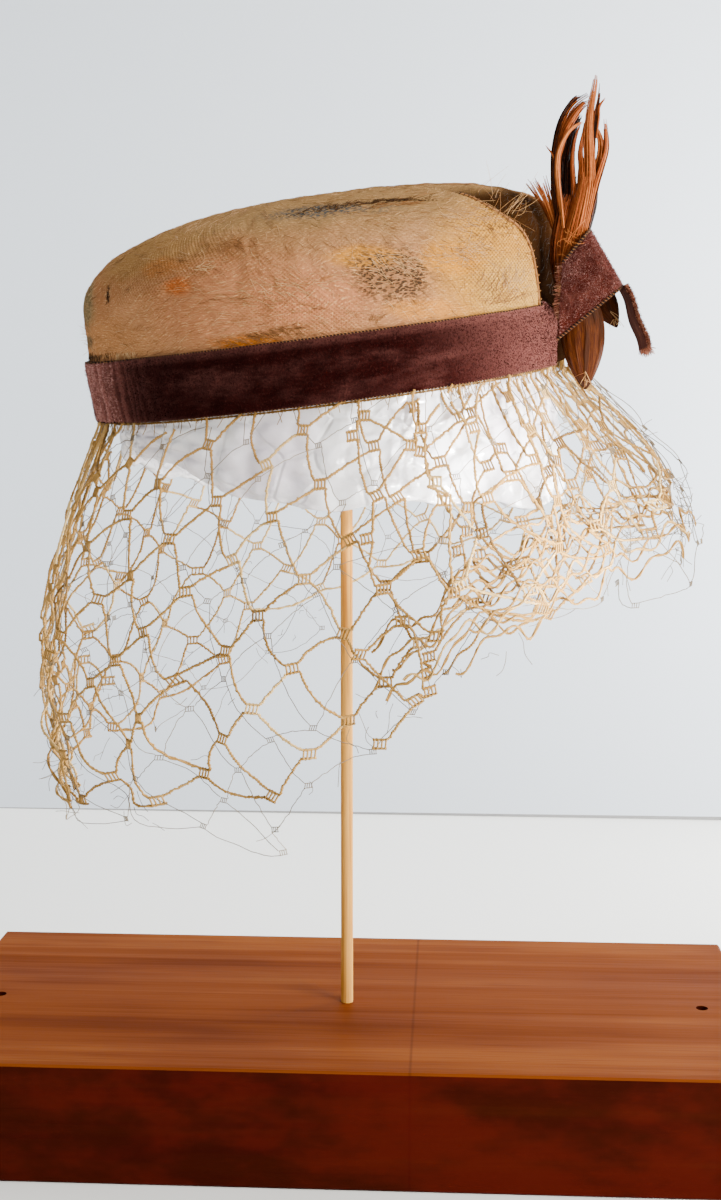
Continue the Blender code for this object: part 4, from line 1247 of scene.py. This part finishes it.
def make_net(row, surface):
    """A net of knotted meshes on the veil's form: long strands, and a small ladder at each knot."""
    chooser = np.random.default_rng(row["seed"])
    fine, lift = row["fine"], row["lift"]
    radius = FINE_RADIUS if fine else THREAD_RADIUS
    size = FINE_KNOT_SIZE if fine else 1.0
    first, last = (math.radians(angle) * MEAN_RIM_RADIUS for angle in row["spread"])
    pitch = NET_PITCH * row["gather"]
    knots = {}
    for column in range(-6, int((last - first) / pitch) + 10):
        for step in range(-60, 80):
            fall = row["shift"] + step * NET_DROP - column * NET_CLIMB
            around = first + column * pitch + NET_SLANT * fall + NET_BOW * fall * fall
            if -NET_DROP < fall < 0.16 and first <= around <= last:
                around += chooser.normal(0, row["scatter"])
                fall += chooser.normal(0, row["scatter"])
                knots[column, step] = (around, fall, chooser.normal(0, 0.22), chooser.normal(0, 0.15))
    strands, ladders = Threads(), Threads()

    def corner(knot, right, low):
        long = KNOT_LENGTH / 2 * size * (1 if right else -1)
        tall = KNOT_WIDTH / 2 * size * (1 if low else -1)
        cosine, sine = math.cos(knot[2]), math.sin(knot[2])
        return np.array([knot[0] + long * cosine - tall * sine, knot[1] + long * sine + tall * cosine])

    def room(knot):
        """How far this knot lies above the net's lower edge, as a share of the drop."""
        angle = knot[0] / MEAN_RIM_RADIUS
        short = 0.0 if fine else 0.24 * max(0.0, math.cos(angle - math.radians(4))) ** 6
        return row["reach"] - short - knot[1] / (float(veil_fall(np.array(angle), "drop")) / 1000)

    def lay(flat, tone):
        flat = flat[flat[:, 1] > -0.0032]
        if len(flat) < 4:
            return
        path = veil_place(flat[:, 0], flat[:, 1], lift)
        if fine:
            strands.add(path, radius, 3, tone)
        else:
            strands.twist(path, radius, THREAD_PITCH, tone, chooser.uniform(0, 6))

    def strand(start, end, bow, tone):
        gap = end - start
        length = np.linalg.norm(gap)
        aside = np.array([-gap[1], gap[0]]) * bow
        flat = bezier(start, start + gap * 0.3 + aside, end - gap * 0.3 + aside, end, 12 if fine else 20)
        lay(flat + chooser.normal(0, 0.00012, flat.shape) * min(1.0, length / 0.01), tone)

    for (column, step), knot in knots.items():
        below, beside = knots.get((column, step + 1)), knots.get((column + 1, step))
        if room(knot) < 0:
            continue
        # Painted highlight: the threads are paler towards the plumed side and the back of the hat.
        facing = 0.5 + 0.5 * math.sin(knot[0] / MEAN_RIM_RADIUS + math.radians(20))
        pale = 0.0 if fine else 0.30 * facing**2
        tone = np.clip(0.46 + pale + knot[3], 0, 1)
        if below and room(below) >= 0 and chooser.uniform() > row["skip"]:
            strand(corner(knot, True, True), corner(below, False, False), chooser.normal(0.05, 0.05), tone)
        if beside and room(beside) >= 0 and chooser.uniform() > row["skip"]:
            strand(corner(knot, True, False), corner(beside, False, True), chooser.normal(-0.05, 0.05), tone)
        across = knots.get((column + 1, step + 1))
        if below and room(below) < 0 and across and room(across) >= 0:
            strand(corner(knot, True, True), corner(across, False, True), 0.16, tone)
        if knot[1] < 0.002:
            continue
        for low in (False, True):
            rail = mix(corner(knot, False, low), corner(knot, True, low), np.linspace(0, 1, 5)[:, None])
            path = veil_place(rail[:, 0], rail[:, 1], lift)
            if fine:
                ladders.add(path, radius, 3, tone)
            else:
                ladders.twist(path, radius, THREAD_PITCH, tone)
        for share in (0.1, 0.37, 0.64, 0.91):
            top = mix(corner(knot, False, False), corner(knot, True, False), share)
            foot = mix(corner(knot, False, True), corner(knot, True, True), share)
            rung = mix(top, foot, np.linspace(0, 1, 5)[:, None])
            path = veil_place(rung[:, 0], rung[:, 1], lift + 0.0004 * size)
            ladders.add(path, radius * 0.95, 4, max(0.0, tone - 0.02))
    pieces = [strands.make(row["name"] + "_threads", surface), ladders.make(row["name"] + "_knots", surface)]
    return pieces


def make_veil_hem(surface):
    """The gathered top of the net, where it is sewn under the crown's edge."""
    hem = Threads()
    chooser = np.random.default_rng(41)
    around = np.linspace(0, 2 * math.pi, 500) * MEAN_RIM_RADIUS
    for level in (-0.0028, -0.0018):
        path = veil_place(around, np.full(500, level), -0.0010)
        hem.twist(path, 0.0003, 0.003, 0.12)
    for _ in range(260):
        degrees = chooser.choice([chooser.uniform(0, 360), chooser.uniform(300, 372)])
        start = math.radians(degrees) * MEAN_RIM_RADIUS
        length = chooser.uniform(0.002, 0.006)
        share = np.linspace(0, 1, 6)
        around = start + chooser.normal(0, 0.0015) * share
        path = veil_place(around, -0.0030 + length * share, chooser.normal(-0.0005, 0.0003))
        hem.add(path, 0.00016, 3, chooser.uniform(0.1, 0.6))
    piece = hem.make("veil_hem", surface)


def make_veil_runs(surface):
    """Long threads of the gathered side, which run on along the net's slanting lower edge."""
    runs = Threads()
    chooser = np.random.default_rng(44)
    for index in range(13):
        start, end = chooser.uniform(278, 300), chooser.uniform(318, 358)
        angles = np.radians(np.linspace(start, end, 90))
        drop = veil_fall(angles, "drop") / 1000
        level = chooser.uniform(0.55, 0.99)
        weave = 0.0035 * np.sin(angles * chooser.uniform(20, 34) + chooser.uniform(0, 6))
        weave = weave + 0.0016 * np.sin(angles * 71 + index)
        fall = drop * level + weave
        path = veil_place(angles * MEAN_RIM_RADIUS, fall, chooser.uniform(-0.004, 0.005))
        runs.twist(path, THREAD_RADIUS * 0.9, THREAD_PITCH, chooser.uniform(0.3, 0.7))
    piece = runs.make("veil_gather_runs", surface)


def make_loose_threads(surface):
    """Broken ends that hang from the net, most of them at its hem and at both sides."""
    loose = Threads()
    chooser = np.random.default_rng(61)
    for _ in range(230):
        sides = [(185, 22), (300, 28), (5, 25)]
        degrees = [chooser.uniform(0, 360), *(chooser.normal(*side) for side in sides)]
        angle = math.radians(chooser.choice(degrees))
        drop = float(veil_fall(np.array(angle), "drop")) / 1000
        fall = drop * (1 - abs(chooser.normal(0, 0.22)))
        if fall < 0.008:
            continue
        around = (angle % (2 * math.pi)) * MEAN_RIM_RADIUS
        start = veil_place(np.array(around), np.array(fall), 0.0)
        outward = unit(np.array([math.cos(angle), math.sin(angle), 0.0]))
        reach = chooser.uniform(0.004, 0.014)
        heading = outward * chooser.uniform(0, 0.9) + np.array([0, 0, chooser.uniform(-1.0, 0.2)])
        heading = unit(heading + chooser.normal(0, 0.5, 3))
        path = [start]
        for _ in range(3):
            heading = unit(heading + chooser.normal(0, 0.55, 3))
            path.append(path[-1] + heading * reach / 3)
        loose.add(smooth_path(path, 12), 0.00013, 3, chooser.uniform(0.1, 0.7))
    piece = loose.make("veil_loose_threads", surface)


def fold_depth(angle, share):
    """How far the film lies inside its plain form: broad folds, creases and the domes of its bubbles."""
    broad = 0.0022 * (0.5 + 0.5 * np.sin(angle * 7 + 2.0 * np.sin(angle * 2) + share * 1.5))
    crease = 0.0018 * np.abs(np.sin(angle * 12 + 2.5 * np.sin(angle * 3) + 2 * share)) ** 6
    column = angle / (2 * math.pi) * 44
    row = share * 3.6
    near_column = column - np.round(column - 0.5 * (np.round(row) % 2)) - 0.5 * (np.round(row) % 2)
    near_row = row - np.round(row)
    away = np.sqrt(near_column**2 + near_row**2)
    domes = 0.0012 * np.clip(1 - (away / 0.42) ** 2, 0, 1) ** 0.5
    return 0.0004 + (broad + crease) * np.sin(math.pi * np.clip(share, 0.02, 1) / 2) + 0.0012 - domes


def make_padding(film):
    """Crumpled bubble film that fills the hat and shows below it, open underneath."""
    columns, skirt, inside = 260, 56, 40
    angles = full_turn(columns)
    lobe = np.maximum(0, np.cos(angles - math.radians(200))) ** 4
    bottom = PADDING_LOW + 0.018 * lobe + 0.0016 * np.sin(angles * 5 + 1) + 0.0010 * np.sin(angles * 13)
    outside_depth = CROWN_WALL + FILM_GAP
    rim = on_crown(angles, np.zeros(columns), np.full(columns, -outside_depth))
    shares = np.linspace(1, 0, skirt)[:, None]
    drop = (rim[:, 2] - bottom)[None] * shares
    skirt_points = rim[None] - (HAT_UP / HAT_UP[2])[None, None] * drop[..., None]
    inward = unit(np.stack([np.cos(angles), np.sin(angles), np.zeros(columns)], axis=-1))[None]
    folds = fold_depth(angles[None], shares)
    skirt_points = skirt_points - inward * folds[..., None]
    angle, rise = np.meshgrid(angles, np.linspace(0.02, 0.97, inside))
    upper = on_crown(angle, rise, np.full(angle.shape, -outside_depth - FILM_THICKNESS))
    points = np.concatenate([skirt_points, upper])
    rows = len(points)
    piece = show("bubble_film", points.reshape(-1, 3), grid_faces(rows, columns, wrap=True), film)
    shell = piece.modifiers.new("wall", "SOLIDIFY")
    shell.thickness = FILM_THICKNESS
    shell.offset = -1.0
    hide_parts("stand_padding")
    return piece


def dress_stand():
    """The model's own rod and block, with their wood."""
    pale = ((0.40, 0.15, 0.022), (0.60, 0.29, 0.060), (0.72, 0.40, 0.10))
    dark = ((0.092, 0.018, 0.002), (0.138, 0.031, 0.003), (0.190, 0.049, 0.004))
    rod = wood_surface("rod_wood_grain", 2, pale, 0.55, 600.0, painted_left_shade=0.15)
    block = wood_surface("block_wood_grain", 0, dark, 0.5, 64.0, painted_side_shade=0.92, line_at=0.027)
    for node, surface in (("stand_rod", rod), ("stand_block", block)):
        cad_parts[node].data.materials.clear()
        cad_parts[node].data.materials.append(surface)


def make_stage():
    """A white table with a dark strip of painted shadow along its back edge, and a pale blue-grey wall behind
    it.
    """
    table = Surface("table", 0.6)
    table.colour(table.blend(table.noise(table.place, 3.0), (0.95, 0.95, 0.91), (0.98, 0.98, 0.94)))
    # Painted shadow: a dark grey strip that stands at the table's back edge, where it meets the wall.
    edge = Surface("table_back_shadow", 0.8)
    edge.colour(edge.blend(edge.noise(edge.place, 9.0), (0.20, 0.20, 0.20), (0.34, 0.34, 0.34)))
    wall = Surface("wall", 0.9)
    wall.colour(wall.blend(wall.noise(wall.place, 1.2), (0.66, 0.71, 0.76), (0.69, 0.74, 0.79)))
    turn = FLOOR_REACH * math.tan(FLOOR_TURN)
    low, top = -FLOOR_BELOW, SHADOW_STRIP_HEIGHT
    far_left, far_right = (-FLOOR_REACH, FLOOR_BACK - turn), (FLOOR_REACH, FLOOR_BACK + turn)
    near = [(side * FLOOR_REACH, -FLOOR_REACH, low) for side in (-1, 1)]
    floor = [*near, (*far_right, low), (*far_left, low)]
    start = (SHADOW_STRIP_START, FLOOR_BACK + SHADOW_STRIP_START * math.tan(FLOOR_TURN), low)
    strip = [start, (*far_right, low), (*far_right, top)]
    corners = ((-1, -1.5), (1, -1.5), (1, 3.0), (-1, 3.0))
    back = [(side * FLOOR_REACH, WALL_BACK, height) for side, height in corners]
    pieces = (("table_top", floor, table), ("table_back_shadow", strip, edge), ("back_wall", back, wall))
    for name, corners, surface in pieces:
        made = mesh_object(name, corners, [range(len(corners))], surface.material)


def aim(light, place_at, target):
    """Puts a lamp in its place, turned to its target."""
    made = bpy.data.objects.new(light.name, light)
    made.location = place_at
    made.rotation_euler = (Vector(target) - Vector(place_at)).to_track_quat("-Z", "Y").to_euler()
    bpy.context.scene.collection.objects.link(made)


def add_light(name, place_at, target, size, power, colour):
    """A square lamp for the room's soft light."""
    light = bpy.data.lights.new(name, "AREA")
    light.size = size
    light.energy = power
    light.color = colour
    aim(light, place_at, target)


def add_glow(place_at, target, power):
    """A narrow lamp for the light that comes through the film at the plumed side."""
    light = bpy.data.lights.new("film_glow", "SPOT")
    light.energy = power
    light.spot_size = math.radians(17)
    light.spot_blend = 1.0
    light.shadow_soft_size = 0.03
    aim(light, place_at, target)


def make_light():
    world = bpy.data.worlds.new("studio")
    bpy.context.scene.world = world
    world.use_nodes = True
    background = world.node_tree.nodes["Background"]
    background.inputs["Color"].default_value = (0.93, 0.96, 1.0, 1.0)
    background.inputs["Strength"].default_value = 0.55
    hat = (0, 0, 0.30)
    add_light("window", (1.15, -0.85, 0.75), hat, 0.6, 50, (1.0, 0.97, 0.92))
    add_light("room", (-1.4, -1.1, 0.9), hat, 1.2, 4, (0.92, 0.96, 1.0))
    add_light("ceiling", (0.1, 0.5, 1.6), hat, 1.2, 14, (1.0, 1.0, 1.0))
    add_light("low_right", (0.75, -0.32, 0.08), (0.06, -0.05, 0.235), 0.25, 4.5, (1.0, 0.98, 0.95))
    add_light("back_right", (0.46, 0.36, 0.15), (0.03, 0.0, 0.255), 0.2, 4, (1.0, 0.99, 0.97))
    add_glow((0.26, -0.30, 0.16), (0.056, -0.046, 0.253), 62)
    add_light("wall_right", (1.3, 0.85, 0.30), (0.35, WALL_BACK, 0.05), 0.6, 84, (1.0, 1.0, 1.0))
    add_light("wall_left", (-1.3, 0.85, 0.20), (-0.25, WALL_BACK, -0.1), 0.6, 9, (0.94, 0.97, 1.0))


def make_camera():
    camera = bpy.data.cameras.new("camera")
    camera.sensor_fit = "VERTICAL"
    camera.sensor_height = SENSOR_HEIGHT
    camera.lens = CAMERA_LENS
    camera.clip_start = 0.01
    made = bpy.data.objects.new("camera", camera)
    level = math.cos(CAMERA_PITCH)
    aside, behind = math.sin(CAMERA_AZIMUTH) * level, -math.cos(CAMERA_AZIMUTH) * level
    made.location = CAMERA_PLACE
    made.rotation_euler = Vector((aside, behind, math.sin(CAMERA_PITCH))).to_track_quat("Z", "Y").to_euler()
    bpy.context.scene.collection.objects.link(made)
    bpy.context.scene.camera = made


def main():
    make_camera()
    make_light()
    make_stage()
    dress_stand()
    hairs = [hair_surface(**row) for row in HAIRS]
    feather_hair, pile_hair, fray_hair, plume_hair, net_thread, fine_thread = hairs
    cord = cord_surface()
    make_crown(crown_surface())
    make_crown_ridge(feather_hair)
    make_crown_barbs(feather_hair)
    band_velvet = velvet_surface("band_velvet", (0.013, 0.0013, 0.0010), (0.22, 0.080, 0.065), worn_ends_and_crest_highlight=True)
    band, band_length = make_band(band_velvet)
    pile = make_band_pile(pile_hair)
    edges = make_band_edges(cord)
    ribbon_velvet = velvet_surface("loop_velvet", (0.10, 0.019, 0.012), (0.26, 0.085, 0.060))
    loop, loop_trim = make_loop(ribbon_velvet, pile_hair, cord, fray_hair)
    tail_velvet = velvet_surface("tail_velvet", (0.040, 0.009, 0.004), (0.13, 0.040, 0.022))
    tail, tail_trim = make_tail(tail_velvet, pile_hair, fray_hair)
    make_plume(plume_hair)
    bud = bud_surface()
    for name in BUDS:
        make_bud(name, bud, feather_hair)
    nets = [make_net(row, fine_thread if row["fine"] else net_thread) for row in NETS]
    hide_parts("veil_net")
    make_veil_runs(net_thread)
    make_veil_hem(net_thread)
    make_loose_threads(fine_thread)
    film = make_padding(film_surface())


main()
